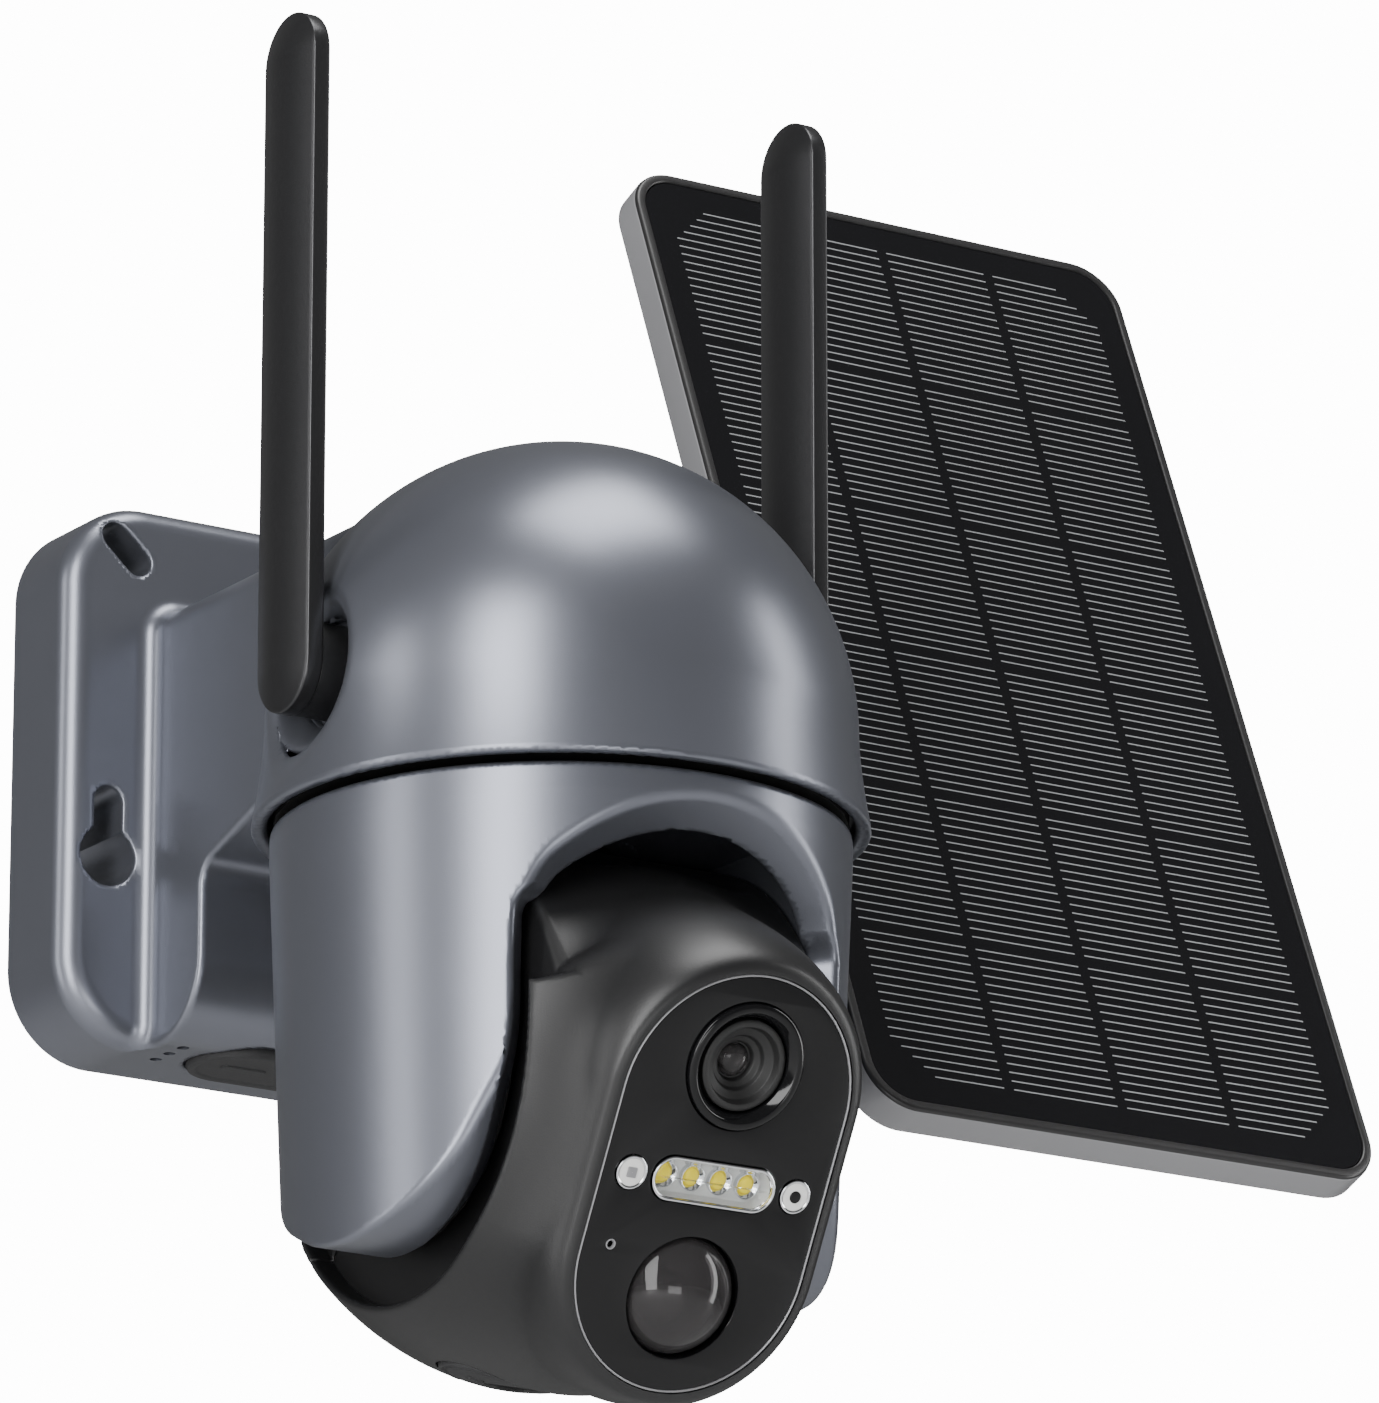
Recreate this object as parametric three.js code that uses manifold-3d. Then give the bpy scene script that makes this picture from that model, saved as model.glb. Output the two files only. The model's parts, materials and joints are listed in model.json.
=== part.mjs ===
// Solar-powered pan and tilt security camera on a wall base, with its solar panel on a wall bracket.
// Millimetres. +Z is up, the wall is the plane y = 0 and the camera looks out along -Y.
// The origin is the centre of the wall base's back face.
import * as THREE from 'three';
import { mergeVertices } from 'three/addons/utils/BufferGeometryUtils.js';
import Module from 'manifold-3d';

const wasm = await Module();
wasm.setup();

// ---------------------------------------------------------------- driving dimensions
const GAP = 0.3;            // clearance between pieces that touch
const WALL = 2.5;           // moulded wall of the housings

const PLATE_W = 92;         // wall base plate: width and height
const PLATE_T = 18;         // plate thickness
const PLATE_R = 15;         // plate corner radius
const PLATE_EDGE = 4.5;     // rounding of the plate's front edge
const BLOCK_W = 60;         // battery block and arm: width
const BLOCK_Y = 34.7;       // battery block: front face from the wall
const BLOCK_TOP = 28;       // top of block and arm above the plate's centre
const BLOCK_TOE_R = 13;     // rounding at the foot of the block
const ARM_UNDER = -19;      // underside of the arm
const ARM_FILLET = 8;       // rounding where the arm meets the block
const KEY_X = 37.7;         // keyholes: side offset, round part's height, radii, slot top
const KEY_Z = -14.6;
const KEY_R = 5;
const KEY_SLOT_R = 2.6;
const KEY_TOP = -5.4;
const SLEEVE = 1.6;         // wall of the sleeve from each keyhole back to the wall
const SLOT_X = 35;          // slanted screw slots near the plate's top
const SLOT_Z = 38;
const SLOT_R = 2.4;
const SLOT_RUN = 5.6;       // distance between the slot's end centres
const SLOT_SLANT = 42;      // degrees below level

const PAN_Y = -96;          // pan axis from the wall
const RIM_Z = -24;          // lower rim of the dome
const DOME_R = 47;          // dome sphere
const DOME_CENTRE = 16;     // sphere centre above the rim
const DOME_RIM_R = 49;      // radius at the rim
const FLOOR_Z = 1;          // dome floor: underside above the rim
const FLOOR_T = 2.4;

const YOKE_R = 45.9;        // yoke radius under the rim
const YOKE_MID_R = 44.3;    // yoke radius at the tilt axis
const YOKE_LOW_R = 43.5;    // yoke radius at the tips of the arms
const YOKE_TOP = -1.2;      // top of the yoke below the rim
const TILT_Z = -41.5;       // tilt axis below the rim
const CEILING = 38.6;       // underside of the yoke's top above the tilt axis
const CAVITY_R = 39.7;      // inner radius of the yoke
const ARM_IN = 25.5;        // inner face of the yoke's arms from the middle
const ARM_HALF = 34.4;      // half-width of an arm seen from the side
const ARM_TIP_R = 35.5;     // radius of an arm's tip about the tilt axis
const ARCH_R = 37;          // front arch, radius about the tilt axis at the outside
const ARCH_HALF = 30.2;     // half-width of the front opening at the outside
const ARCH_BEVEL = 4.7;     // how much the arch closes in from outside to inside
const ARCH_CORNER = 4;      // rounding of the arch's shoulders

const NECK_R = 12;          // hollow neck that carries the yoke
const NECK_BORE = 8;
const NECK_TOP = 12;        // top of the neck above the rim
const PAN_MODULE = 1.25;
const PAN_GEAR_TEETH = 32;
const PAN_PINION_TEETH = 10;
const TILT_MODULE = 1;
const TILT_GEAR_TEETH = 24;
const TILT_PINION_TEETH = 8;

const BALL_R = 47.5;        // camera head
const CORE_R = 37.8;        // head's back, which turns under the yoke's ceiling
const HUB_HALF = 24.7;      // half-width of the head between the arms
const RECESS_R = 37;        // side recesses that the arms stand in
const BALL_FROM = -110;     // the full ball's sector, degrees up from the face's normal
const BALL_TO = 38;
const FACE_N = 50;          // face plane from the tilt axis
const FACE_HALF_W = 20.3;   // face outline
const FACE_HALF_H = 33.4;
const SNOUT_SWELL = 5;      // how far the snout widens behind the face
const SNOUT_DEPTH = 20;
const HEAD_WALL = 2.5;
const SEAM_Y = 12;          // seam between the head's front and rear shells
const TILT_REST = 28.5;     // degrees below level at rest
const FACE_LIP = 1;         // width of the shell's lip round the face panel
const FACE_PANEL_T = 2.4;
const LENS_V = 18.8;        // lens and motion sensor: height on the face
const LENS_RING_R = 10;
const LENS_R = 7.2;
const PIR_V = -18.2;
const PIR_R = 9.5;
const PIR_SPHERE = 10.2;    // sphere of the sensor's dome
const PIR_RISE = 4.6;       // top of that dome above the face
const LED_HALF_W = 11;      // lamp window
const LED_HALF_H = 3.5;
const LED_PITCH = 4.95;
const LED_COUNT = 4;
const EYE_X = 14.8;         // small round windows beside the lamp
const EYE_R = 2.6;
const MIC_X = -15;
const MIC_V = -11.5;
const FLAP_ANGLE = -71;     // card slot flap: direction on the head, degrees from the face's normal
const FLAP_HALF_L = 16.5;
const FLAP_HALF_W = 6.2;

const ANT_Y = 4.4;          // antenna hinges behind the pan axis
const ANT_Z = 21.4;         // above the rim
const ANT_X = 47.3;         // middle plane of an antenna
const ANT_LEN = 108;        // hinge to tip
const ANT_W = 15.6;
const ANT_T = 6;
const ANT_EDGE_T = 2.8;     // flat edge
const ANT_IN = ANT_X - ANT_T / 2;   // face towards the dome
const SEAT_X = 38.4;        // floor of the hinge seat in the dome
const STUB_R = 7.8;         // hinge stub
const BOSS_R = 11;          // pocket in the dome round the hinge
const POCKET_X = 39.6;      // floor of that pocket
const BOSS_IN = 34.5;        // inner face of the boss behind that pocket

const PANEL_W = 102;        // solar panel
const PANEL_H = 196;
const PANEL_T = 7;
const PANEL_R = 9;
const PANEL_LIP = 1.9;      // bezel seen from the front
const PANEL_X = 111.8;
const PANEL_TILT = 22.2;    // degrees that the top leans back
const HINGE_Y = -43.8;      // panel tilt axis
const HINGE_Z = 27;
const PANEL_FRONT = 14;     // panel face in front of the tilt axis
const SWIVEL_Y = -26;       // panel swivel axis
const LUG_R = 5.5;          // radius of the bracket's and the panel's hinge lugs

const PORT_Y = -16.5;       // port cover on the underside of the block
const PORT_HALF_L = 20.5;
const PORT_HALF_W = 9;
const BUTTON_X = 11.5;      // power button beside the charging inlet
const GRILLE_Y = [-13, -17.4, -21.8];       // speaker holes from the wall
const SPEAKER_R = 6.5;
const SPEAKER_T = 2.9;
const POST_R = 3;           // posts for the back cover's screws, the lower one just over the speaker
const SCREW_X = 23.5;
const SCREW_LOW = -PLATE_W / 2 + WALL + GAP + SPEAKER_T + GAP + POST_R;
const SCREW_HIGH = BLOCK_TOP - WALL - GAP - POST_R - 1.2;
const SCREW_PLACES = [[-SCREW_X, SCREW_LOW], [SCREW_X, SCREW_HIGH]];

const rad = THREE.MathUtils.degToRad;

// ---------------------------------------------------------------- materials
const material = (color, roughness, metalness, extra = {}) =>
  () => new THREE.MeshStandardMaterial({ color, roughness, metalness, ...extra });
const slate = material(0x6a6e75, 0.42, 0.55);
const charcoal = material(0x2b2b2c, 0.45, 0.1);
const black = material(0x1c1c1d, 0.5, 0.05);
const gloss = material(0x101012, 0.08, 0.0);
const rubber = material(0x202022, 0.85, 0.0);
const steel = material(0x9a9da0, 0.3, 0.9);
const brass = material(0xb08d4a, 0.35, 0.9);
const board = material(0x14502d, 0.5, 0.0);
const cellWrap = material(0x2f6f9f, 0.4, 0.0);
const lampYellow = material(0xe8dc2a, 0.3, 0.0);
const clear = material(0xdfe6e8, 0.05, 0.0, { transparent: true, opacity: 0.35 });
const smoke = material(0x3a3436, 0.08, 0.0);
const whitePlastic = material(0xe8e8e6, 0.4, 0.0);
const solar = material(0x07070a, 0.12, 0.0);

// ---------------------------------------------------------------- solids
// A closed three.js geometry as a solid that can be joined and cut, its faces turned outwards.
function solid(geometry) {
  const bare = geometry.clone();
  bare.deleteAttribute('normal');
  bare.deleteAttribute('uv');
  const merged = mergeVertices(bare, 1e-4);
  const vertProperties = new Float32Array(merged.attributes.position.array);
  const triVerts = new Uint32Array(merged.index.array);
  const body = new wasm.Manifold(new wasm.Mesh({ numProp: 3, vertProperties, triVerts }));
  if (body.volume() > 0) return body;
  for (let i = 0; i < triVerts.length; i += 3) {
    [triVerts[i], triVerts[i + 1]] = [triVerts[i + 1], triVerts[i]];
  }
  return new wasm.Manifold(new wasm.Mesh({ numProp: 3, vertProperties, triVerts }));
}

// The solid as a geometry again.
function geometryOf(body) {
  const found = body.getMesh();
  const geometry = new THREE.BufferGeometry();
  const positions = new Float32Array(found.vertProperties);
  geometry.setAttribute('position', new THREE.BufferAttribute(positions, 3));
  geometry.setIndex(new THREE.BufferAttribute(new Uint32Array(found.triVerts), 1));
  geometry.computeVertexNormals();
  return geometry;
}

const join = (...parts) => parts.reduce((whole, part) => whole.add(part));
const span = (side, near, far) => [side * near, side * far].sort((a, b) => a - b);
const cut = (body, ...tools) => tools.reduce((whole, tool) => whole.subtract(tool), body);

function box(x0, x1, y0, y1, z0, z1) {
  const geometry = new THREE.BoxGeometry(x1 - x0, y1 - y0, z1 - z0);
  geometry.translate((x0 + x1) / 2, (y0 + y1) / 2, (z0 + z1) / 2);
  return solid(geometry);
}

// A cylinder between a and b along one axis, its centre at the other two coordinates in order.
function rod(axis, a, b, p, q, radius, segments = 18) {
  const geometry = new THREE.CylinderGeometry(radius, radius, b - a, segments);
  if (axis === 'x') {
    geometry.rotateZ(Math.PI / 2);
    geometry.translate((a + b) / 2, p, q);
  } else if (axis === 'y') {
    geometry.translate(p, (a + b) / 2, q);
  } else {
    geometry.rotateX(Math.PI / 2);
    geometry.translate(p, q, (a + b) / 2);
  }
  return solid(geometry);
}

function ball(radius, across, down) {
  return solid(new THREE.SphereGeometry(radius, across, down).rotateX(Math.PI / 2));
}

// A profile of [radius, height] pairs turned about Z.
function turned(points, segments = 40) {
  const profile = points.map(([r, z]) => new THREE.Vector2(r, z));
  return solid(new THREE.LatheGeometry(profile, segments).rotateX(Math.PI / 2));
}

// A profile of [radius, n] pairs turned about the face's normal, which is -Y.
function turnedOnFace(points, x, v, segments = 28) {
  const profile = points.map(([r, n]) => new THREE.Vector2(r, n));
  const geometry = new THREE.LatheGeometry(profile, segments).rotateX(Math.PI);
  geometry.translate(x, 0, v);
  return solid(geometry);
}

function roundedRect(w, h, r, cx = 0, cy = 0) {
  const shape = new THREE.Shape();
  const x = w / 2;
  const y = h / 2;
  shape.moveTo(cx - x + r, cy - y);
  shape.lineTo(cx + x - r, cy - y);
  shape.absarc(cx + x - r, cy - y + r, r, -Math.PI / 2, 0);
  shape.lineTo(cx + x, cy + y - r);
  shape.absarc(cx + x - r, cy + y - r, r, 0, Math.PI / 2);
  shape.lineTo(cx - x + r, cy + y);
  shape.absarc(cx - x + r, cy + y - r, r, Math.PI / 2, Math.PI);
  shape.lineTo(cx - x, cy - y + r);
  shape.absarc(cx - x + r, cy - y + r, r, Math.PI, 1.5 * Math.PI);
  return shape;
}

const stadium = (halfW, halfH, cx = 0, cy = 0) =>
  roundedRect(2 * halfW, 2 * halfH, Math.min(halfW, halfH) - 1e-3, cx, cy);

// A shape in (x, z) carried along Y from y0 to y1.
function alongY(shape, y0, y1, options = {}) {
  const geometry = new THREE.ExtrudeGeometry(shape, {
    depth: y1 - y0, bevelEnabled: false, curveSegments: 5, ...options,
  });
  geometry.rotateX(Math.PI / 2);
  geometry.translate(0, y1, 0);
  return solid(geometry);
}

// A shape in (y, z) carried along X from x0 to x1.
function alongX(shape, x0, x1, options = {}) {
  const geometry = new THREE.ExtrudeGeometry(shape, {
    depth: x1 - x0, bevelEnabled: false, curveSegments: 5, ...options,
  });
  geometry.rotateX(Math.PI / 2);
  geometry.rotateZ(Math.PI / 2);
  geometry.translate(x0, 0, 0);
  return solid(geometry);
}

// A shape in (x, y) carried along Z from z0 to z1.
function alongZ(shape, z0, z1, options = {}) {
  const geometry = new THREE.ExtrudeGeometry(shape, {
    depth: z1 - z0, bevelEnabled: false, curveSegments: 5, ...options,
  });
  geometry.translate(0, 0, z0);
  return solid(geometry);
}

// Rings of points joined into a closed skin, with a fan over the first and the last.
function loft(rings) {
  const count = rings[0].length;
  const positions = [];
  rings.forEach((ring) => ring.forEach((p) => positions.push(...p)));
  const centre = (ring) => [0, 1, 2].map((k) => ring.reduce((sum, p) => sum + p[k], 0) / count);
  const first = positions.length / 3;
  positions.push(...centre(rings[0]), ...centre(rings[rings.length - 1]));
  const faces = [];
  for (let i = 0; i < count; i += 1) {
    const j = (i + 1) % count;
    for (let k = 0; k < rings.length - 1; k += 1) {
      const a = k * count;
      const b = a + count;
      faces.push(a + i, a + j, b + j, a + i, b + j, b + i);
    }
    const last = (rings.length - 1) * count;
    faces.push(first, j, i, first + 1, last + i, last + j);
  }
  const geometry = new THREE.BufferGeometry();
  geometry.setAttribute('position', new THREE.BufferAttribute(new Float32Array(positions), 3));
  geometry.setIndex(faces);
  return solid(geometry);
}

// A gear along X or Z: straight-sided teeth on a disc, with a bore.
function gear(teeth, module, bore, phase = 0) {
  const shape = new THREE.Shape();
  const pitch = (teeth * module) / 2;
  const step = (2 * Math.PI) / teeth;
  const corners = [[pitch - 1.2 * module, -0.36], [pitch + 0.85 * module, -0.14],
    [pitch + 0.85 * module, 0.14], [pitch - 1.2 * module, 0.36]];
  for (let i = 0; i < teeth; i += 1) {
    corners.forEach(([radius, share], k) => {
      const angle = (i + phase + share) * step;
      const at = [radius * Math.cos(angle), radius * Math.sin(angle)];
      if (i === 0 && k === 0) shape.moveTo(...at);
      else shape.lineTo(...at);
    });
  }
  const hole = new THREE.Path();
  hole.absarc(0, 0, bore, 0, 2 * Math.PI, true);
  shape.holes.push(hole);
  return shape;
}

// ---------------------------------------------------------------- scene graph
const model = new THREE.Group();
model.name = 'solar_security_camera';

function add(parent, name, body, makeMaterial, position = [0, 0, 0]) {
  const mesh = new THREE.Mesh(geometryOf(body), makeMaterial());
  mesh.name = name;
  mesh.position.set(...position);
  parent.add(mesh);
  return mesh;
}

// ---------------------------------------------------------------- wall base
const rimZ = (above) => RIM_Z + above;
const wallGroup = new THREE.Group();
model.add(wallGroup);

// Block and arm seen from the side, in (y, z): behind the wall plane to the pan axis.
function sideProfile() {
  const foot = -PLATE_W / 2;
  const shape = new THREE.Shape();
  shape.moveTo(0.5, foot);
  shape.lineTo(0.5, BLOCK_TOP);
  shape.lineTo(PAN_Y, BLOCK_TOP);
  shape.lineTo(PAN_Y, ARM_UNDER);
  shape.lineTo(-BLOCK_Y - ARM_FILLET, ARM_UNDER);
  shape.absarc(-BLOCK_Y - ARM_FILLET, ARM_UNDER - ARM_FILLET, ARM_FILLET, Math.PI / 2, 0, true);
  shape.lineTo(-BLOCK_Y, foot + BLOCK_TOE_R);
  shape.absarc(-BLOCK_Y + BLOCK_TOE_R, foot + BLOCK_TOE_R, BLOCK_TOE_R, Math.PI, 1.5 * Math.PI);
  return shape;
}

// The room for the batteries and the board inside the block.
function blockRoom() {
  const foot = -PLATE_W / 2 + WALL;
  const front = -BLOCK_Y + WALL;
  const toe = BLOCK_TOE_R - WALL;
  const shape = new THREE.Shape();
  shape.moveTo(1, foot);
  shape.lineTo(1, BLOCK_TOP - WALL);
  shape.lineTo(front, BLOCK_TOP - WALL);
  shape.lineTo(front, foot + toe);
  shape.absarc(front + toe, foot + toe, toe, Math.PI, 1.5 * Math.PI);
  return alongX(shape, -BLOCK_W / 2 + WALL, BLOCK_W / 2 - WALL);
}

// The dome's outside as [radius, height above the rim], grown by `extra` and closed at height `low`.
const domeOuter = (extra, low) => {
  const points = [[0, low], [DOME_RIM_R + extra, low], [DOME_RIM_R + extra, 3],
    [DOME_R + 0.5 + extra, DOME_CENTRE - 3]];
  const steps = 7;
  for (let i = 1; i < steps; i += 1) {
    const angle = (i / steps) * (Math.PI / 2);
    points.push([(DOME_R + extra) * Math.cos(angle), DOME_CENTRE + (DOME_R + extra) * Math.sin(angle)]);
  }
  points.push([0, DOME_CENTRE + DOME_R + extra], [0, low]);
  return points;
};

function movedTurned(points, x, y, z, segments) {
  const profile = points.map(([r, h]) => new THREE.Vector2(r, h));
  const geometry = new THREE.LatheGeometry(profile, segments).rotateX(Math.PI / 2);
  geometry.translate(x, y, z);
  return solid(geometry);
}

// A keyhole grown by `more`, between two distances from the wall.
function keyholeForm(side, more, y0, y1) {
  const x = side * KEY_X;
  const slot = KEY_SLOT_R + more;
  return join(
    rod('y', y0, y1, x, KEY_Z, KEY_R + more),
    box(x - slot, x + slot, y0, y1, KEY_Z, KEY_TOP),
    rod('y', y0, y1, x, KEY_TOP, slot, 16),
  );
}

function buildWallBase() {
  const half = PLATE_W / 2;
  const plate = alongY(
    roundedRect(PLATE_W - 2 * PLATE_EDGE, PLATE_W - 2 * PLATE_EDGE, PLATE_R - PLATE_EDGE),
    -PLATE_T + PLATE_EDGE, 10,
    { bevelEnabled: true, bevelSize: PLATE_EDGE, bevelThickness: PLATE_EDGE, bevelSegments: 3,
      curveSegments: 5 },
  );
  const block = alongX(sideProfile(), -BLOCK_W / 2, BLOCK_W / 2);
  let body = join(plate, block);
  const pocketDepth = PLATE_T - 3;
  const inner = BLOCK_W / 2;
  body = cut(body,
    box(-200, 200, 0, 30, -200, 200),
    blockRoom(),
    box(-inner + WALL, inner - WALL, -200, -BLOCK_Y, ARM_UNDER + WALL, BLOCK_TOP - WALL),
    box(-12, 12, -BLOCK_Y - 1, -BLOCK_Y + WALL + 1, -8, 12),
    alongY(roundedRect(half - 3 - inner, PLATE_W - 6, 5, -(half - 3 + inner) / 2, 0), -pocketDepth, 1,
      { curveSegments: 4 }),
    alongY(roundedRect(half - 3 - inner, PLATE_W - 6, 5, (half - 3 + inner) / 2, 0), -pocketDepth, 1,
      { curveSegments: 4 }),
    box(-inner + WALL, inner - WALL, -pocketDepth, 1, BLOCK_TOP, half - 3),
    movedTurned(domeOuter(GAP, -1), 0, PAN_Y, RIM_Z, 36),
    box(-200, 200, -200, PAN_Y + 20, -200, 200),
  );
  for (const side of [-1, 1]) {
    const keyhole = keyholeForm(side, 0, -PLATE_T - 1, 1);
    const sleeve = keyholeForm(side, SLEEVE, -PLATE_T + 1, 0);
    body = join(body, sleeve.intersect(box(-half + 1, half - 1, -PLATE_T, 0, -half, half)));
    const slant = side * rad(SLOT_SLANT);
    const slot = new THREE.ExtrudeGeometry(stadium(SLOT_R + SLOT_RUN / 2, SLOT_R),
      { depth: PLATE_T + 2, bevelEnabled: false, curveSegments: 8 });
    slot.rotateZ(slant);
    slot.rotateX(Math.PI / 2);
    slot.translate(side * SLOT_X, 1, SLOT_Z);
    body = cut(body, keyhole, solid(slot));
  }
  const posts = SCREW_PLACES.map(([x, z]) => rod('y', -BLOCK_Y + WALL - 0.5, -2.5 - GAP, x, z, POST_R, 12));
  body = join(body, ...posts);
  body = cut(body, ...SCREW_PLACES.map(([x, z]) => rod('y', -14, 1, x, z, 1.4, 12)));
  const recess = alongZ(stadium(PORT_HALF_L + GAP, PORT_HALF_W + GAP, 0, PORT_Y), -half - 1, -half + 1.6);
  body = cut(body, recess, box(-5.8, 5.8, PORT_Y - 2.7, PORT_Y + 2.7, -half - 1, -half + 5),
    rod('z', -half - 1, -half + 5, BUTTON_X, PORT_Y, 2.6, 16));
  for (const y of GRILLE_Y) body = cut(body, rod('z', -half - 1, -half + 5, -27 + 1.6, y, 1.0, 10));
  return body;
}

add(wallGroup, 'wall_base', buildWallBase(), slate);

const coverX = BLOCK_W / 2 - WALL - GAP;
const coverLow = -PLATE_W / 2 + WALL + GAP;
const coverHigh = BLOCK_TOP - WALL - GAP;
add(wallGroup, 'base_back_cover', cut(
  box(-coverX, coverX, -2.5, 0, coverLow, coverHigh),
  ...SCREW_PLACES.map(([x, z]) => rod('y', -3, 1, x, z, 1.5, 12)),
  ...SCREW_PLACES.map(([x, z]) => rod('y', -1.6, 1, x, z, 3.1, 16)),
), black);

SCREW_PLACES.forEach(([x, z], i) => {
  const screw = join(rod('y', -1.3, -0.2, x, z, 2.8, 16), rod('y', -12, -1.2, x, z, 1.15, 12));
  add(wallGroup, `cover_screw_${i + 1}`, screw, steel);
});

const cellZ0 = -37;
const cellY = -13.2;
for (const [i, x] of [-9.8, 9.8].entries()) {
  add(wallGroup, `battery_cell_${i + 1}`, rod('z', cellZ0 + 7, cellZ0 + 58, x, cellY, 9.1, 24), cellWrap);
}
add(wallGroup, 'battery_holder', cut(
  box(-20.4, 20.4, -23.6, -3.4, cellZ0 + 5, cellZ0 + 60),
  box(-19.4, 19.4, -30, -6, cellZ0 + 6.6, cellZ0 + 58.4),
  rod('z', cellZ0 + 6.6, cellZ0 + 58.4, -9.8, cellY, 9.5, 24),
  rod('z', cellZ0 + 6.6, cellZ0 + 58.4, 9.8, cellY, 9.5, 24),
), black);
add(wallGroup, 'main_board', join(
  box(-21.5, 21.5, -27.4, -25.8, -30, 18),
  box(-8, 8, -25.9, -24.2, -6, 10),
  box(-18, -8, -30, -27.3, -20, -6),
  box(4, 14, -29.2, -27.3, -4, 8),
), board);

// Underside: charging inlet, power button and the rubber flap over them.
const portGroup = new THREE.Group();
portGroup.position.set(0, PORT_Y, -PLATE_W / 2);
model.add(portGroup);
add(portGroup, 'usb_inlet', cut(
  box(-5.5, 5.5, -2.4, 2.4, 3.2, 8),
  alongZ(stadium(4.4, 1.5), 2, 7),
), steel);
add(portGroup, 'power_button', join(
  rod('z', 2.1, 6.5, BUTTON_X, 0, 2.3, 16),
  rod('z', WALL + GAP, WALL + 1.2, BUTTON_X, 0, 3.4, 16),
), rubber);
add(portGroup, 'port_cover', join(
  alongZ(stadium(PORT_HALF_L - 0.8, PORT_HALF_W - 0.8, 0, 0), -0.8, 1.3),
  alongZ(stadium(PORT_HALF_L, PORT_HALF_W, 0, 0), 0, 1.3),
), rubber);
const speakerZ = -PLATE_W / 2 + WALL + GAP;
const speakerX = -BLOCK_W / 2 + WALL + GAP + SPEAKER_R;
add(wallGroup, 'speaker', rod('z', speakerZ, speakerZ + SPEAKER_T, speakerX, GRILLE_Y[1], SPEAKER_R, 22), steel);

// ---------------------------------------------------------------- dome, root part of the pan joint
const domeGroup = new THREE.Group();
domeGroup.position.set(0, PAN_Y, RIM_Z);
model.add(domeGroup);

function buildDome() {
  let body = turned(domeOuter(0, 0), 36);
  const inner = [[0, -2], [DOME_RIM_R - WALL, -2], [DOME_RIM_R - WALL, 3],
    [DOME_R + 0.5 - WALL, DOME_CENTRE - 3]];
  const steps = 4;
  for (let i = 1; i < steps; i += 1) {
    const angle = (i / steps) * (Math.PI / 2);
    inner.push([(DOME_R - WALL) * Math.cos(angle), DOME_CENTRE + (DOME_R - WALL) * Math.sin(angle)]);
  }
  inner.push([0, DOME_CENTRE + DOME_R - WALL], [0, -2]);
  body = cut(body, turned(inner, 20));
  for (const side of [-1, 1]) {
    const boss = rod('x', ...span(side, BOSS_IN, DOME_R), ANT_Y, ANT_Z, BOSS_R + WALL, 22);
    body = join(body, boss.intersect(turned(domeOuter(0, 0), 36)));
    body = cut(body,
      rod('x', ...span(side, POCKET_X, 60), ANT_Y, ANT_Z, BOSS_R, 24),
      rod('x', ...span(side, SEAT_X, 60), ANT_Y, ANT_Z, STUB_R + 0.4, 22),
      rod('x', ...span(side, 20, 60), ANT_Y, ANT_Z, 3.3, 16));
  }
  return cut(body, rod('y', 30, 60, 0, 28, 5, 16));
}
add(domeGroup, 'dome_shell', buildDome(), slate);

const floorR = DOME_RIM_R - WALL - GAP - 0.2;
add(domeGroup, 'dome_floor', cut(
  join(
    rod('z', FLOOR_Z, FLOOR_Z + FLOOR_T, 0, 0, floorR - 0.6, 32),
    rod('z', FLOOR_Z, FLOOR_Z + 6, 0, 0, 19, 24),
  ),
  rod('z', FLOOR_Z - 1, FLOOR_Z + 3, 0, 0, NECK_R + 0.4, 22),
  rod('z', FLOOR_Z + 2, FLOOR_Z + 8, 0, 0, 17, 24),
), black);
add(domeGroup, 'pan_bearing', cut(
  rod('z', FLOOR_Z + 2 + GAP, FLOOR_Z + 5.6, 0, 0, 16.6, 24),
  rod('z', 0, 10, 0, 0, NECK_R + 0.15, 24),
), steel);
const panPitch = (PAN_MODULE * PAN_GEAR_TEETH) / 2;
const panPinionPitch = (PAN_MODULE * PAN_PINION_TEETH) / 2;
const panCentres = panPitch + panPinionPitch + 0.15;
const gearZ = FLOOR_Z + 6.6;
add(domeGroup, 'pan_motor', join(
  rod('z', gearZ + 5, gearZ + 17, 0, -panCentres, 10.5, 22),
  rod('z', gearZ + 4.2, gearZ + 5.1, 0, -panCentres, 4, 16),
  box(-16, 16, -panCentres - 3.2, -panCentres + 3.2, gearZ + 5, gearZ + 6),
), steel);

// ---------------------------------------------------------------- yoke, turns about the pan axis
const panGroup = new THREE.Group();
panGroup.position.set(0, PAN_Y, RIM_Z);
model.add(panGroup);

const pinionPhase = 0.5;
function panPinion() {
  const shape = gear(PAN_PINION_TEETH, PAN_MODULE, 1.6, pinionPhase);
  const geometry = new THREE.ExtrudeGeometry(shape, { depth: 4, bevelEnabled: false, curveSegments: 8 });
  geometry.rotateZ(Math.PI / 2);
  geometry.translate(0, -panCentres, gearZ);
  return solid(geometry);
}
add(panGroup, 'pan_pinion', panPinion(), brass);
function panGear() {
  const shape = gear(PAN_GEAR_TEETH, PAN_MODULE, NECK_R + GAP, 0);
  const geometry = new THREE.ExtrudeGeometry(shape, { depth: 4, bevelEnabled: false, curveSegments: 12 });
  geometry.rotateZ(-Math.PI / 2);
  geometry.translate(0, 0, gearZ);
  return solid(geometry);
}
add(panGroup, 'pan_gear', panGear(), whitePlastic);

const yokeProfile = (inset) => [
  [0, YOKE_TOP - inset], [YOKE_R - inset, YOKE_TOP - inset], [YOKE_R - inset, -5],
  [YOKE_MID_R - inset, TILT_Z], [YOKE_LOW_R - inset, -80], [0, -80]];

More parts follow.
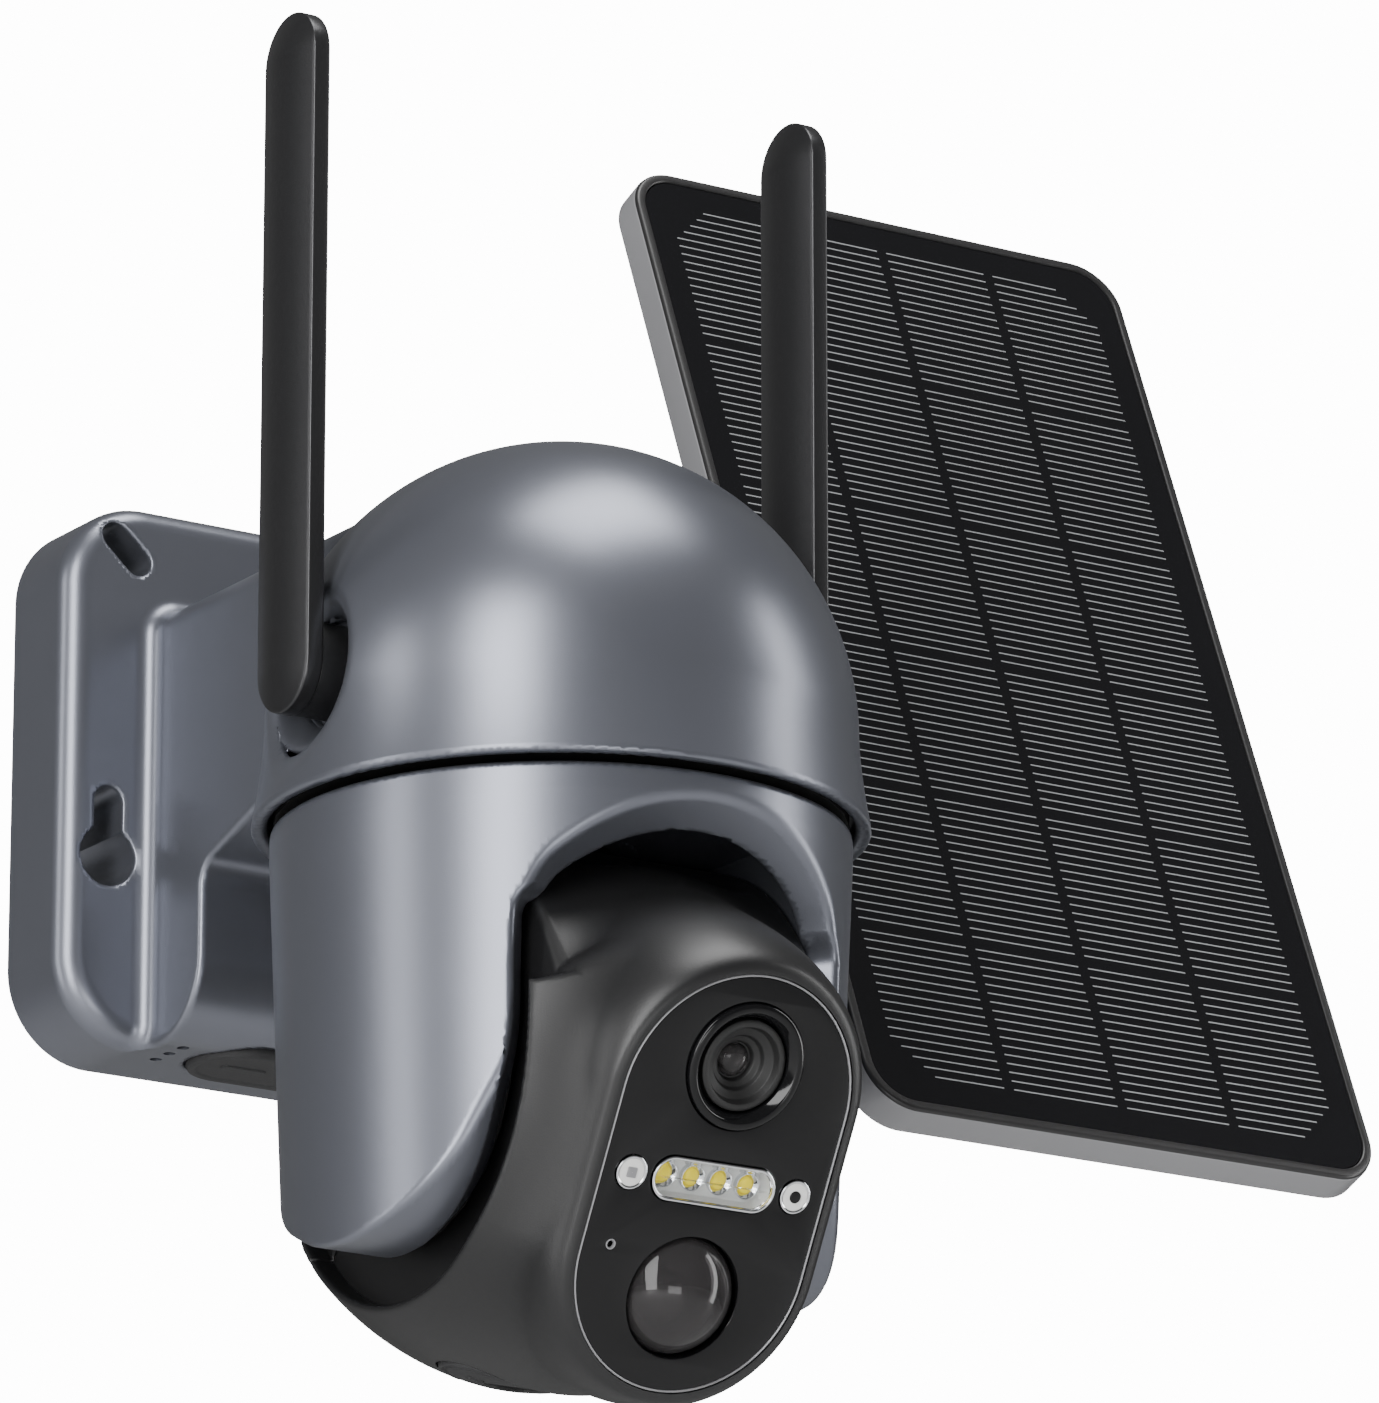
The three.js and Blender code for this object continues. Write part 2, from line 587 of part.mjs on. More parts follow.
// The front opening at distance r from the pan axis, as points on that cylinder.
function archRing(r) {
  const grown = (r - CAVITY_R) / (YOKE_R - CAVITY_R);
  const arch = ARCH_R - ARCH_BEVEL + ARCH_BEVEL * grown;
  const half = ARCH_HALF - ARCH_BEVEL + ARCH_BEVEL * grown;
  const shoulder = Math.sqrt(arch * arch - half * half) - ARCH_CORNER / 2;
  const outline = [[-half, -60], [-half, shoulder * 0.5], [-half, shoulder]];
  const from = Math.atan2(shoulder + ARCH_CORNER, -half + ARCH_CORNER / 2.5);
  const to = Math.PI - from;
  const steps = 10;
  for (let i = 0; i <= steps; i += 1) {
    const angle = from + ((to - from) * i) / steps;
    outline.push([arch * Math.cos(angle), arch * Math.sin(angle)]);
  }
  outline.push([half, shoulder], [half, shoulder * 0.5], [half, -60]);
  for (let i = 1; i < 6; i += 1) outline.push([half - (2 * half * i) / 6, -60]);
  return outline.map(([x, z]) => [x, -Math.sqrt(r * r - x * x), z + TILT_Z]);
}

function archCutter(side) {
  const rings = [archRing(CAVITY_R - 0.6), archRing(70)].map((ring) =>
    ring.map(([x, y, z]) => [side * x, side * y, z]));
  return loft(rings);
}

function armOutline(inset, top) {
  const half = ARM_HALF - inset;
  const tip = ARM_TIP_R - inset;
  const angle = Math.acos(half / tip);
  const shape = new THREE.Shape();
  shape.moveTo(-half, TILT_Z + top);
  shape.lineTo(-half, TILT_Z - tip * Math.sin(angle));
  shape.absarc(0, TILT_Z, tip, Math.PI + angle, 2 * Math.PI - angle);
  shape.lineTo(half, TILT_Z + top);
  shape.lineTo(-half, TILT_Z + top);
  return shape;
}

function armPrism(side) {
  const bevel = 4.8;
  const geometry = new THREE.ExtrudeGeometry(armOutline(bevel, 60), {
    depth: 30, bevelEnabled: true, bevelSize: bevel, bevelThickness: bevel, bevelSegments: 1, curveSegments: 9,
  });
  geometry.translate(0, 0, ARM_IN + bevel);
  geometry.rotateX(Math.PI / 2);
  geometry.rotateZ(Math.PI / 2);
  if (side < 0) geometry.rotateZ(Math.PI);
  return solid(geometry);
}

const podInset = 7.2;
const podTop = 24;
function podHollow(side) {
  const x0 = side > 0 ? ARM_IN - 1 : -60;
  const x1 = side > 0 ? 60 : -ARM_IN + 1;
  const mouth = alongX(armOutline(podInset, podTop), x0, x1);
  return mouth.intersect(turned(yokeProfile(2.4), 22));
}

function buildYoke() {
  const outer = turned(yokeProfile(0), 40);
  const upper = box(-80, 80, -80, 80, TILT_Z + 22, 10);
  const allowed = join(upper, armPrism(-1), armPrism(1));
  let body = outer.intersect(allowed);
  const cavity = rod('z', -90, TILT_Z + CEILING, 0, 0, CAVITY_R, 36)
    .intersect(box(-ARM_IN, ARM_IN, -80, 80, -90, 10));
  body = cut(body, cavity, archCutter(1), archCutter(-1), podHollow(1), podHollow(-1));
  const neck = rod('z', YOKE_TOP - 1, NECK_TOP, 0, 0, NECK_R, 24);
  return cut(join(body, neck), rod('z', -6, 30, 0, 0, NECK_BORE, 20));
}
add(panGroup, 'yoke_shell', buildYoke(), slate);

const AXLE_R = 6;
for (const [name, side] of [['left', -1], ['right', 1]]) {
  const x = span(side, ARM_IN + 0.3, ARM_IN + 2.3);
  const cover = cut(alongX(armOutline(podInset + GAP, podTop - GAP), ...x),
    rod('x', -60, 60, 0, TILT_Z, AXLE_R + 2.2, 22));
  add(panGroup, `arm_cover_${name}`, cover, black);
  const bush = span(side, ARM_IN + 0.3, ARM_IN + 3.4);
  const flange = span(side, ARM_IN + 2.6, ARM_IN + 3.4);
  add(panGroup, `tilt_bush_${name}`, cut(
    join(rod('x', ...bush, 0, TILT_Z, AXLE_R + 1.9, 18), rod('x', ...flange, 0, TILT_Z, AXLE_R + 3.2, 18)),
    rod('x', -60, 60, 0, TILT_Z, AXLE_R + 0.1, 18),
  ), whitePlastic);
}
const tiltPitch = (TILT_MODULE * TILT_GEAR_TEETH) / 2;
const tiltPinionPitch = (TILT_MODULE * TILT_PINION_TEETH) / 2;
const tiltCentres = tiltPitch + tiltPinionPitch + 0.12;
const tiltGearX = -(ARM_IN + 7.2);
add(panGroup, 'tilt_motor', join(
  rod('x', tiltGearX - 6.6, tiltGearX - 0.6, 0, TILT_Z + tiltCentres, 6.6, 24),
  box(tiltGearX - 1.6, tiltGearX - 0.6, -9.5, 9.5, TILT_Z + tiltCentres - 2.5, TILT_Z + tiltCentres + 2.5),
), steel);

function tiltWheel(teeth, phase, x0, x1, z, bore) {
  const shape = gear(teeth, TILT_MODULE, bore, phase);
  const geometry = new THREE.ExtrudeGeometry(shape, { depth: x1 - x0, bevelEnabled: false, curveSegments: 8 });
  geometry.rotateX(Math.PI / 2);
  geometry.rotateZ(Math.PI / 2);
  geometry.translate(x0, 0, z);
  return solid(geometry);
}
// Teeth point up the line of centres at a quarter turn, the pinion's gaps point down it.
add(panGroup, 'tilt_pinion', tiltWheel(TILT_PINION_TEETH, 0, tiltGearX, tiltGearX + 3, TILT_Z + tiltCentres, 0.9),
  brass);

// ---------------------------------------------------------------- head, turns about the tilt axis
const headGroup = new THREE.Group();
headGroup.position.set(0, 0, TILT_Z);
headGroup.rotation.x = rad(TILT_REST);
panGroup.add(headGroup);

// A wedge about the tilt axis between two directions on the head, degrees up from the face's normal.
function sector(from, to, r0, r1) {
  const shape = new THREE.Shape();
  const steps = Math.ceil((to - from) / 15);
  const at = (r, i) => {
    const angle = rad(from + ((to - from) * i) / steps);
    return [-r * Math.cos(angle), r * Math.sin(angle)];
  };
  shape.moveTo(...at(r0, 0));
  for (let i = 1; i <= steps; i += 1) shape.lineTo(...at(r0, i));
  for (let i = steps; i >= 0; i -= 1) shape.lineTo(...at(r1, i));
  return alongX(shape, -60, 60);
}

function headForm(inset) {
  const hub = HUB_HALF - inset;
  const recess = RECESS_R + inset;
  let body = ball(BALL_R - inset, inset ? 16 : 28, inset ? 8 : 14);
  body = cut(body, sector(BALL_TO - inset, 360 + BALL_FROM + inset, CORE_R - inset, 90));
  const snout = new THREE.ExtrudeGeometry(stadium(FACE_HALF_W - inset, FACE_HALF_H - inset), {
    depth: 12, bevelEnabled: true, bevelSize: SNOUT_SWELL, bevelThickness: SNOUT_DEPTH,
    bevelSegments: inset ? 2 : 3, curveSegments: inset ? 3 : 5,
  });
  snout.rotateX(Math.PI / 2);
  snout.translate(0, -FACE_N + SNOUT_DEPTH + 12, 0);
  body = join(body, solid(snout).subtract(box(-60, 60, -FACE_N + SNOUT_DEPTH + 10, 60, -60, 60)));
  const behind = sector(BALL_TO - inset, 360 + BALL_FROM + inset, recess / 2, 90);
  for (const side of [-1, 1]) {
    const outside = span(side, hub, 80);
    body = cut(body, rod('x', ...outside, 0, 0, recess, inset ? 20 : 30),
      behind.intersect(box(...outside, -90, 90, -90, 90)));
  }
  return body;
}

function flapPrism(halfL, halfW, r0, r1) {
  const geometry = new THREE.ExtrudeGeometry(stadium(halfL, halfW), {
    depth: r1 - r0, bevelEnabled: false, curveSegments: 4,
  });
  geometry.translate(0, 0, r0);
  geometry.rotateX(rad(90 - FLAP_ANGLE));
  return solid(geometry);
}

const faceBack = FACE_N - FACE_PANEL_T - 0.3;
const shellHead = (() => {
  const ledge = FACE_LIP + 2.2;
  let body = headForm(0);
  const hollow = headForm(HEAD_WALL);
  const frontWall = box(-60, 60, -70, -(faceBack - 2), -60, 60);
  body = cut(body, hollow.subtract(frontWall));
  body = cut(body,
    alongY(stadium(FACE_HALF_W - FACE_LIP, FACE_HALF_H - FACE_LIP), -FACE_N - 5, -faceBack),
    alongY(stadium(FACE_HALF_W - ledge, FACE_HALF_H - ledge), -FACE_N - 5, -20),
    flapPrism(FLAP_HALF_L + GAP, FLAP_HALF_W + GAP, 30, 60),
    rod('x', -60, 60, 0, 0, AXLE_R - 1.2, 24));
  return body;
})();
add(headGroup, 'head_front_shell', shellHead.intersect(box(-90, 90, -90, SEAM_Y, -90, 90)), black);
add(headGroup, 'head_rear_shell', shellHead.intersect(box(-90, 90, SEAM_Y + GAP, 90, -90, 90)), black);

for (const [name, side] of [['left', -1], ['right', 1]]) {
  const tube = span(side, HUB_HALF + GAP, ARM_IN + (side < 0 ? 10 : 5));
  add(headGroup, `tilt_axle_${name}`, cut(rod('x', ...tube, 0, 0, AXLE_R, 18), rod('x', -90, 90, 0, 0, 3.5, 16)),
    steel);
}
add(headGroup, 'tilt_gear', (() => {
  const shape = gear(TILT_GEAR_TEETH, TILT_MODULE, AXLE_R + GAP, 0.5);
  const geometry = new THREE.ExtrudeGeometry(shape, { depth: 3, bevelEnabled: false, curveSegments: 12 });
  geometry.rotateX(Math.PI / 2);
  geometry.rotateZ(Math.PI / 2);
  geometry.rotateX(rad(-TILT_REST));
  geometry.translate(tiltGearX, 0, 0);
  return solid(geometry);
})(), whitePlastic);

function facePanel() {
  let body = alongY(stadium(FACE_HALF_W - FACE_LIP - GAP, FACE_HALF_H - FACE_LIP - GAP), -FACE_N + 0.3,
    -FACE_N + 0.3 + FACE_PANEL_T - GAP);
  body = cut(body,
    rod('y', -70, 0, 0, LENS_V, LENS_RING_R + GAP, 20),
    rod('y', -70, 0, 0, PIR_V, PIR_R + GAP, 20),
    alongY(stadium(LED_HALF_W + GAP, LED_HALF_H + GAP), -70, 0),
    rod('y', -70, 0, -EYE_X, 0, EYE_R + GAP, 12),
    rod('y', -70, 0, EYE_X, 0, EYE_R + GAP, 12),
    rod('y', -70, 0, MIC_X, MIC_V, 0.75, 8));
  return body;
}
add(headGroup, 'face_panel', facePanel(), gloss);
add(headGroup, 'lens_ring', turnedOnFace([
  [LENS_R + GAP, 44.6], [LENS_RING_R, 44.6], [LENS_RING_R, FACE_N + 0.1], [LENS_RING_R - 0.6, FACE_N + 0.5],
  [LENS_R + 1.4, FACE_N + 0.5], [LENS_R + GAP, FACE_N - 1], [LENS_R + GAP, 44.6],
], 0, LENS_V, 20), gloss);
add(headGroup, 'lens_barrel', turnedOnFace([
  [0, 33], [LENS_R - 1.2, 33], [LENS_R - 1.2, 40], [LENS_R, 40], [LENS_R, 48.6], [5.4, 48.6], [4.9, 47.2],
  [3.6, 47.2], [3.2, 46.2], [2.7, 46.2], [2.7, 43], [0, 43], [0, 33],
], 0, LENS_V, 20), black);
add(headGroup, 'lens_glass', turnedOnFace([
  [0, 43.3], [2.5, 43.3], [2.5, 46.3], [1.9, 46.9], [1, 47.3], [0, 47.4], [0, 43.3],
], 0, LENS_V, 24), smoke);
add(headGroup, 'sensor_board', join(box(-14, 14, -32.7, -31.1, 7, 29), box(-5, 5, -31.2, -29.6, LENS_V - 5, LENS_V + 5)),
  board);
const lampBack = 44.4;
add(headGroup, 'lamp_board', cut(
  box(-17, 17, -lampBack, -lampBack + 1.4, -5.6, 5.6),
), board);
for (let i = 0; i < LED_COUNT; i += 1) {
  const x = (i - (LED_COUNT - 1) / 2) * LED_PITCH;
  add(headGroup, `lamp_led_${i + 1}`, join(
    box(x - 1.7, x + 1.7, -lampBack - 1.1, -lampBack - GAP, -1.7, 1.7),
    rod('y', -lampBack - 1.7, -lampBack - 1, x, 0, 1.2, 14),
  ), lampYellow);
}
add(headGroup, 'lamp_window', alongY(stadium(LED_HALF_W, LED_HALF_H), -FACE_N + 0.1, -FACE_N + 2.2), clear);
add(headGroup, 'infrared_window', rod('y', -FACE_N + 0.1, -FACE_N + 2.2, -EYE_X, 0, EYE_R, 18), whitePlastic);
add(headGroup, 'light_sensor_window', rod('y', -FACE_N + 0.1, -FACE_N + 2.2, EYE_X, 0, EYE_R, 18), whitePlastic);

// The motion sensor's dome in profile: an arc from the middle out to radius r, `thin` inside the outer sphere.
function motionDome(r, thin) {
  const centre = FACE_N + PIR_RISE - PIR_SPHERE;
  const sphere = PIR_SPHERE - thin;
  const steps = 4;
  const edge = Math.asin(Math.min(r / sphere, 1));
  const points = [];
  for (let i = 0; i <= steps; i += 1) {
    const angle = (edge * i) / steps;
    points.push([sphere * Math.sin(angle), centre + sphere * Math.cos(angle)]);
  }
  return points;
}
add(headGroup, 'motion_sensor_dome', (() => {
  const outer = motionDome(PIR_R, 0);
  const inner = motionDome(PIR_R - 1, 1);
  const low = faceBack - 2;
  const points = [...outer, [PIR_R, low], [PIR_R - 1, low], ...inner.reverse()];
  points.push(outer[0]);
  return turnedOnFace(points, 0, PIR_V, 20);
})(), smoke);
add(headGroup, 'motion_sensor', turnedOnFace([
  [0, 40], [4.6, 40], [4.6, 41], [4.1, 41], [4.1, 45.2], [0, 45.2], [0, 40],
], 0, PIR_V, 24), steel);

const flapShell = cut(ball(BALL_R + 0.4, 24, 12), ball(BALL_R - 1.8, 12, 6));
add(headGroup, 'card_slot_flap', flapPrism(FLAP_HALF_L, FLAP_HALF_W, 30, 60).intersect(flapShell), rubber);
function onFlap(geometry) {
  geometry.rotateX(rad(90 - FLAP_ANGLE));
  return solid(geometry);
}
add(headGroup, 'reset_button', (() => {
  const geometry = new THREE.CylinderGeometry(1.8, 1.8, 5, 14).rotateX(Math.PI / 2);
  geometry.translate(10, 0, 40);
  return onFlap(geometry);
})(), rubber);

// ---------------------------------------------------------------- antennas
function antennaPaddle() {
  const r = ANT_W / 2;
  const halfT = ANT_T / 2;
  const halfEdge = ANT_EDGE_T / 2;
  const outline = (inset) => {
    const shape = new THREE.Shape();
    shape.moveTo(-r + inset, 0);
    shape.absarc(0, 0, r - inset, Math.PI, 2 * Math.PI);
    shape.lineTo(r - inset, ANT_LEN - r);
    shape.absarc(0, ANT_LEN - r, r - inset, 0, Math.PI);
    return shape;
  };
  return alongX(outline(5), -halfEdge, halfEdge, {
    bevelEnabled: true, bevelSize: 5, bevelThickness: halfT - halfEdge, bevelSegments: 2, curveSegments: 6,
  });
}
const antennaSides = { left: -1, right: 1 };
for (const [name, side] of Object.entries(antennaSides)) {
  const group = new THREE.Group();
  group.position.set(0, PAN_Y + ANT_Y, RIM_Z + ANT_Z);
  model.add(group);
  add(group, `antenna_${name}`, antennaPaddle(), charcoal, [side * ANT_X, 0, 0]);
  add(group, `antenna_stub_${name}`, join(
    rod('x', ...span(side, SEAT_X + GAP, ANT_IN - GAP), 0, 0, STUB_R, 22),
    rod('x', ...span(side, BOSS_IN - 4, SEAT_X + 1), 0, 0, 3, 16),
  ), black);
}

// ---------------------------------------------------------------- solar panel on its bracket
const standGroup = new THREE.Group();
standGroup.position.set(PANEL_X, 0, HINGE_Z);
model.add(standGroup);
const footHoles = [[-18, -18], [18, -18], [-18, 18], [18, 18]];
add(standGroup, 'panel_foot', (() => {
  const plate = alongY(roundedRect(42, 42, 10), -6, 8,
    { bevelEnabled: true, bevelSize: 2, bevelThickness: 2, bevelSegments: 1, curveSegments: 3 });
  let body = join(plate, rod('y', SWIVEL_Y + 4, -4, 0, 0, 7, 22), rod('z', -8, 8, 0, SWIVEL_Y, 8, 22));
  body = cut(body, box(-100, 100, 0, 50, -100, 100), rod('z', -20, 20, 0, SWIVEL_Y, 2.7, 20));
  for (const [x, z] of footHoles) body = cut(body, rod('y', -20, 5, x, z, 2.2, 16));
  return body;
})(), black);

const swivelGroup = new THREE.Group();
standGroup.add(swivelGroup);
const EAR_IN = 5.4;
const EAR_OUT = 9;
add(swivelGroup, 'panel_swivel', (() => {
  const web0 = SWIVEL_Y - 8 - 3.1;
  let body = join(
    rod('z', 8.3, 12.3, 0, SWIVEL_Y, 8, 22),
    rod('z', -12.3, -8.3, 0, SWIVEL_Y, 8, 22),
    box(-EAR_OUT, EAR_OUT, web0, SWIVEL_Y - 8.4, -12.3, 12.3),
    box(-8, 8, web0, SWIVEL_Y, 8.3, 12.3),
    box(-8, 8, web0, SWIVEL_Y, -12.3, -8.3),
  );
  for (const side of [-1, 1]) {
    const x = span(side, EAR_IN, EAR_OUT);
    body = join(body, rod('x', ...x, HINGE_Y, 0, LUG_R, 24),
      box(...x, HINGE_Y, web0 + 1, -LUG_R, LUG_R));
  }
  return cut(body, rod('x', -60, 60, HINGE_Y, 0, 2.7, 20), rod('z', -40, 40, 0, SWIVEL_Y, 2.7, 20));
})(), black);
add(swivelGroup, 'swivel_pin', join(
  rod('z', -12.6, 12.9, 0, SWIVEL_Y, 2.4, 20),
  rod('z', 12.6, 15, 0, SWIVEL_Y, 4.5, 6),
), steel);
add(swivelGroup, 'tilt_bolt', join(
  rod('x', -9.4, 15, HINGE_Y, 0, 2.4, 20),
  rod('x', -12, -9.3, HINGE_Y, 0, 4.4, 6),
), steel);
add(swivelGroup, 'clamp_knob', (() => {
  let body = rod('x', EAR_OUT + GAP, EAR_OUT + 8, HINGE_Y, 0, 6.2, 24);
  for (let i = 0; i < 6; i += 1) {
    const angle = (i / 6) * 2 * Math.PI;
    const y = HINGE_Y + 7 * Math.cos(angle);
    body = cut(body, rod('x', 0, 40, y, 7 * Math.sin(angle), 1.4, 8));
  }
  return cut(body, rod('x', 0, 15.3, HINGE_Y, 0, 2.6, 20));
})(), black);

const panelGroup = new THREE.Group();
panelGroup.position.set(0, HINGE_Y, 0);
panelGroup.rotation.x = rad(-PANEL_TILT);
swivelGroup.add(panelGroup);
const panelFace = -PANEL_FRONT;
const panelBack = panelFace + PANEL_T;
add(panelGroup, 'panel_frame', (() => {
  const outer = alongY(roundedRect(PANEL_W - 1, PANEL_H - 1, PANEL_R), panelFace + 0.5, panelBack - 0.5,
    { bevelEnabled: true, bevelSize: 0.5, bevelThickness: 0.5, bevelSegments: 1, curveSegments: 5 });
  const lip = PANEL_LIP;
  return cut(outer,
    alongY(roundedRect(PANEL_W - 2 * lip, PANEL_H - 2 * lip, PANEL_R - lip), panelFace - 1, panelFace + 2.4),
    alongY(roundedRect(PANEL_W - 10, PANEL_H - 10, PANEL_R - 4), panelFace, panelBack - 1.9),
    alongY(roundedRect(PANEL_W - 6, PANEL_H - 6, PANEL_R - 2.5), panelBack - 2.2, panelBack + 3));
})(), charcoal);
add(panelGroup, 'solar_laminate', alongY(
  roundedRect(PANEL_W - 2 * PANEL_LIP - 2 * GAP, PANEL_H - 2 * PANEL_LIP - 2 * GAP, PANEL_R - PANEL_LIP - GAP),
  panelFace + 0.3, panelFace + 2.1), solar);
add(panelGroup, 'panel_back_cover', (() => {
  const plate = alongY(roundedRect(PANEL_W - 6.6, PANEL_H - 6.6, PANEL_R - 2.8), panelBack - 1.9, panelBack + 0.3);
  const lugBase = box(-EAR_IN + GAP, EAR_IN - GAP, panelBack, 0, -LUG_R, LUG_R);
  const lug = rod('x', -EAR_IN + GAP, EAR_IN - GAP, 0, 0, LUG_R, 24);
  const box2 = box(-18, 18, panelBack, panelBack + 9.6, -66, -44);
  return cut(join(plate, lugBase, lug, box2),
    rod('x', -60, 60, 0, 0, 2.7, 20),
    box(-16, 16, panelBack - 3, panelBack + 8, -64, -46),
    rod('z', -80, -60, 0, panelBack + 4.8, 3.1, 16));
})(), black);
add(panelGroup, 'cable_gland', cut(
  join(rod('z', -70, -62, 0, panelBack + 4.8, 2.8, 16), rod('z', -72, -66.3, 0, panelBack + 4.8, 4.2, 16)),
  rod('z', -90, -50, 0, panelBack + 4.8, 1.7, 12),
), rubber);

export default model;
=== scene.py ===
import json
import math

import bpy
import bmesh
import numpy as np
from mathutils import Matrix, Vector


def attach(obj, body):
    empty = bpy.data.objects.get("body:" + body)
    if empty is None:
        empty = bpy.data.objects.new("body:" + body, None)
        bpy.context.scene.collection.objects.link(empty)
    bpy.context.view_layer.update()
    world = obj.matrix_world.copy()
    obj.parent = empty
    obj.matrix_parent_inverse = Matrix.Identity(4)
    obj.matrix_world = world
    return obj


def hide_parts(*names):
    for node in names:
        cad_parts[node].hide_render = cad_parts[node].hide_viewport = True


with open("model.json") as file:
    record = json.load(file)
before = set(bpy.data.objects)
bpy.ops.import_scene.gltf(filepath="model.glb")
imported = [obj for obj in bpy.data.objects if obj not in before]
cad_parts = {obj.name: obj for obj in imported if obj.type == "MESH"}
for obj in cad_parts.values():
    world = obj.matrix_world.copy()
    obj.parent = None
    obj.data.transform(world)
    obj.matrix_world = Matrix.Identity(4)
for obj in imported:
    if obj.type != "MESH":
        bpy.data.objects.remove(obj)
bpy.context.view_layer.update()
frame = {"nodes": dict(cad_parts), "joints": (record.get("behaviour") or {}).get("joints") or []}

# ------------------------------------------------------------------ sizes, in millimetres
MM = 0.001
JOINTS = {j["name"]: j for j in frame["joints"]}


def joint_place(name):
    """Where a joint sits in the row frame, in millimetres."""
    return np.array(JOINTS[name]["pos_m"]) / MM


PAN = joint_place("pan_turn")               # pan axis at the height of the dome's rim
TILT = joint_place("tilt_turn")
TILT_Z = TILT[2] - PAN[2]                   # tilt axis below the rim
PANEL_HINGE = joint_place("panel_tilt_turn")
TILT_REST = 28.5                            # degrees that the face looks below level
PANEL_TILT = 22.2                           # degrees that the panel's top leans back

PLATE_HALF, PLATE_T, PLATE_CORNER = 46.0, 18.0, 15.0
BLOCK_HALF, BLOCK_FRONT, BLOCK_TOP, TOE = 30.0, 34.7, 28.0, 13.0
ARM_UNDER = -19.0
ARM_RISE = 0.34                             # slope of the arm's underside towards the dome
WALL = 2.5

DOME_R, DOME_CENTRE, RIM_FLARE = 47.0, 16.0, 2.0
ANT_Y, ANT_Z = joint_place("antenna_left_turn")[1:] - PAN[1:]
ANT_X = joint_place("antenna_right_turn")[0]
ANT_LENGTH, ANT_HALF_W, ANT_HALF_T, ANT_HALF_EDGE = 108.0, 7.8, 3.0, 1.4
POCKET_R, POCKET_X, POCKET_SPREAD, POCKET_EASE, BOSS_IN = 11.0, 39.6, 0.85, 0.76, 34.5
STUB_R, SEAT_X = 7.8, 38.4

YOKE_TOP_R, YOKE_MID_R = 45.9, 44.3
YOKE_TOP, TAPER_FROM = -0.7, -5.0
CAVITY_R, CEILING = 39.7, 38.6
ARM_IN, ARM_HALF = 25.5, 34.4
ARM_TOP_V, ARM_TIP_Y, ARM_TIP_V, ARM_TIP = 6.0, -4.0, -4.4, 26.3
ARM_BEVEL, ARM_FRAME, ARM_SKIN, HOLLOW_TOP = 4.8, 7.2, 2.4, 24.0
ARCH_R, ARCH_HALF, ARCH_BEVEL, ARCH_FROM, RING_UNDER = 37.0, 30.2, 4.7, 14.0, 21.0
ARM_EASE, ARCH_EASE = 0.75, 0.8
NECK_R, NECK_BORE_R, NECK_FOOT, NECK_TOP = 12.0, 8.0, -3.0, 12.0

BALL_R, CORE_R, HUB_HALF, RECESS_R = 47.5, 37.8, 24.7, 37.0
BALL_FROM, BALL_TO = -117.0, 38.0
FACE_N, FACE_HALF_W, FACE_HALF_H, FACE_LIP = 50.0, 20.3, 33.4, 0.55
FACE_DEEP, LEDGE, ROOM_FROM = 2.7, 3.2, 28.0
SNOUT_SWELL, SNOUT_DEPTH, SNOUT_FROM, SNOUT_EASE = 5.0, 20.0, 12.0, 0.9
SEAM, SEAM_GAP, AXLE_R = 12.0, 0.3, 4.8
LENS_V, LENS_RING_R, LENS_R = 18.8, 10.0, 7.2
PIR_V, PIR_R, PIR_SPHERE, PIR_RISE, PIR_WALL, PIR_BACK = -18.2, 9.5, 10.3, 4.4, 0.75, 46.2
LED_HALF_W, LED_HALF_H, LED_PITCH, LED_COUNT = 11.0, 3.5, 4.95, 4
EYE_X, EYE_R = 14.8, 2.6
MIC, MIC_R = (-15.0, -11.5), 0.75
FLAP_ANGLE, FLAP_HALF_L, FLAP_HALF_W, FLAP_FLOOR = -71.0, 16.5, 6.2, 36.0

PANEL_W, PANEL_H, PANEL_T, PANEL_CORNER, PANEL_LIP = 102.0, 196.0, 7.0, 9.0, 1.9
PANEL_FRONT = 14.0


# ------------------------------------------------------------------ places
def placed(origin, turn_x=0.0):
    """A 4x4 that takes millimetres in a frame turned turn_x degrees about X to metres in the row frame."""
    a = math.radians(turn_x)
    m = np.eye(4)
    m[1:3, 1:3] = [[math.cos(a), -math.sin(a)], [math.sin(a), math.cos(a)]]
    m[:3, 3] = origin
    m[:3] *= MM
    return m


YOKE_STEP, HEAD_STEP = 0.7, 0.62            # grids of the carrier's and the head's skins
ROW = placed((0, 0, 0))
AT_PAN = placed(PAN)
AT_HEAD = placed(TILT, TILT_REST)
AT_PANEL = placed(PANEL_HINGE, -PANEL_TILT)


# ------------------------------------------------------------------ materials
def group_sockets(tree, names, direction):
    """Adds sockets given as (name, kind, first value) to a node group."""
    for name, kind, value in names:
        socket = tree.interface.new_socket(name=name, in_out=direction, socket_type=kind)
        if value is not None:
            socket.default_value = value


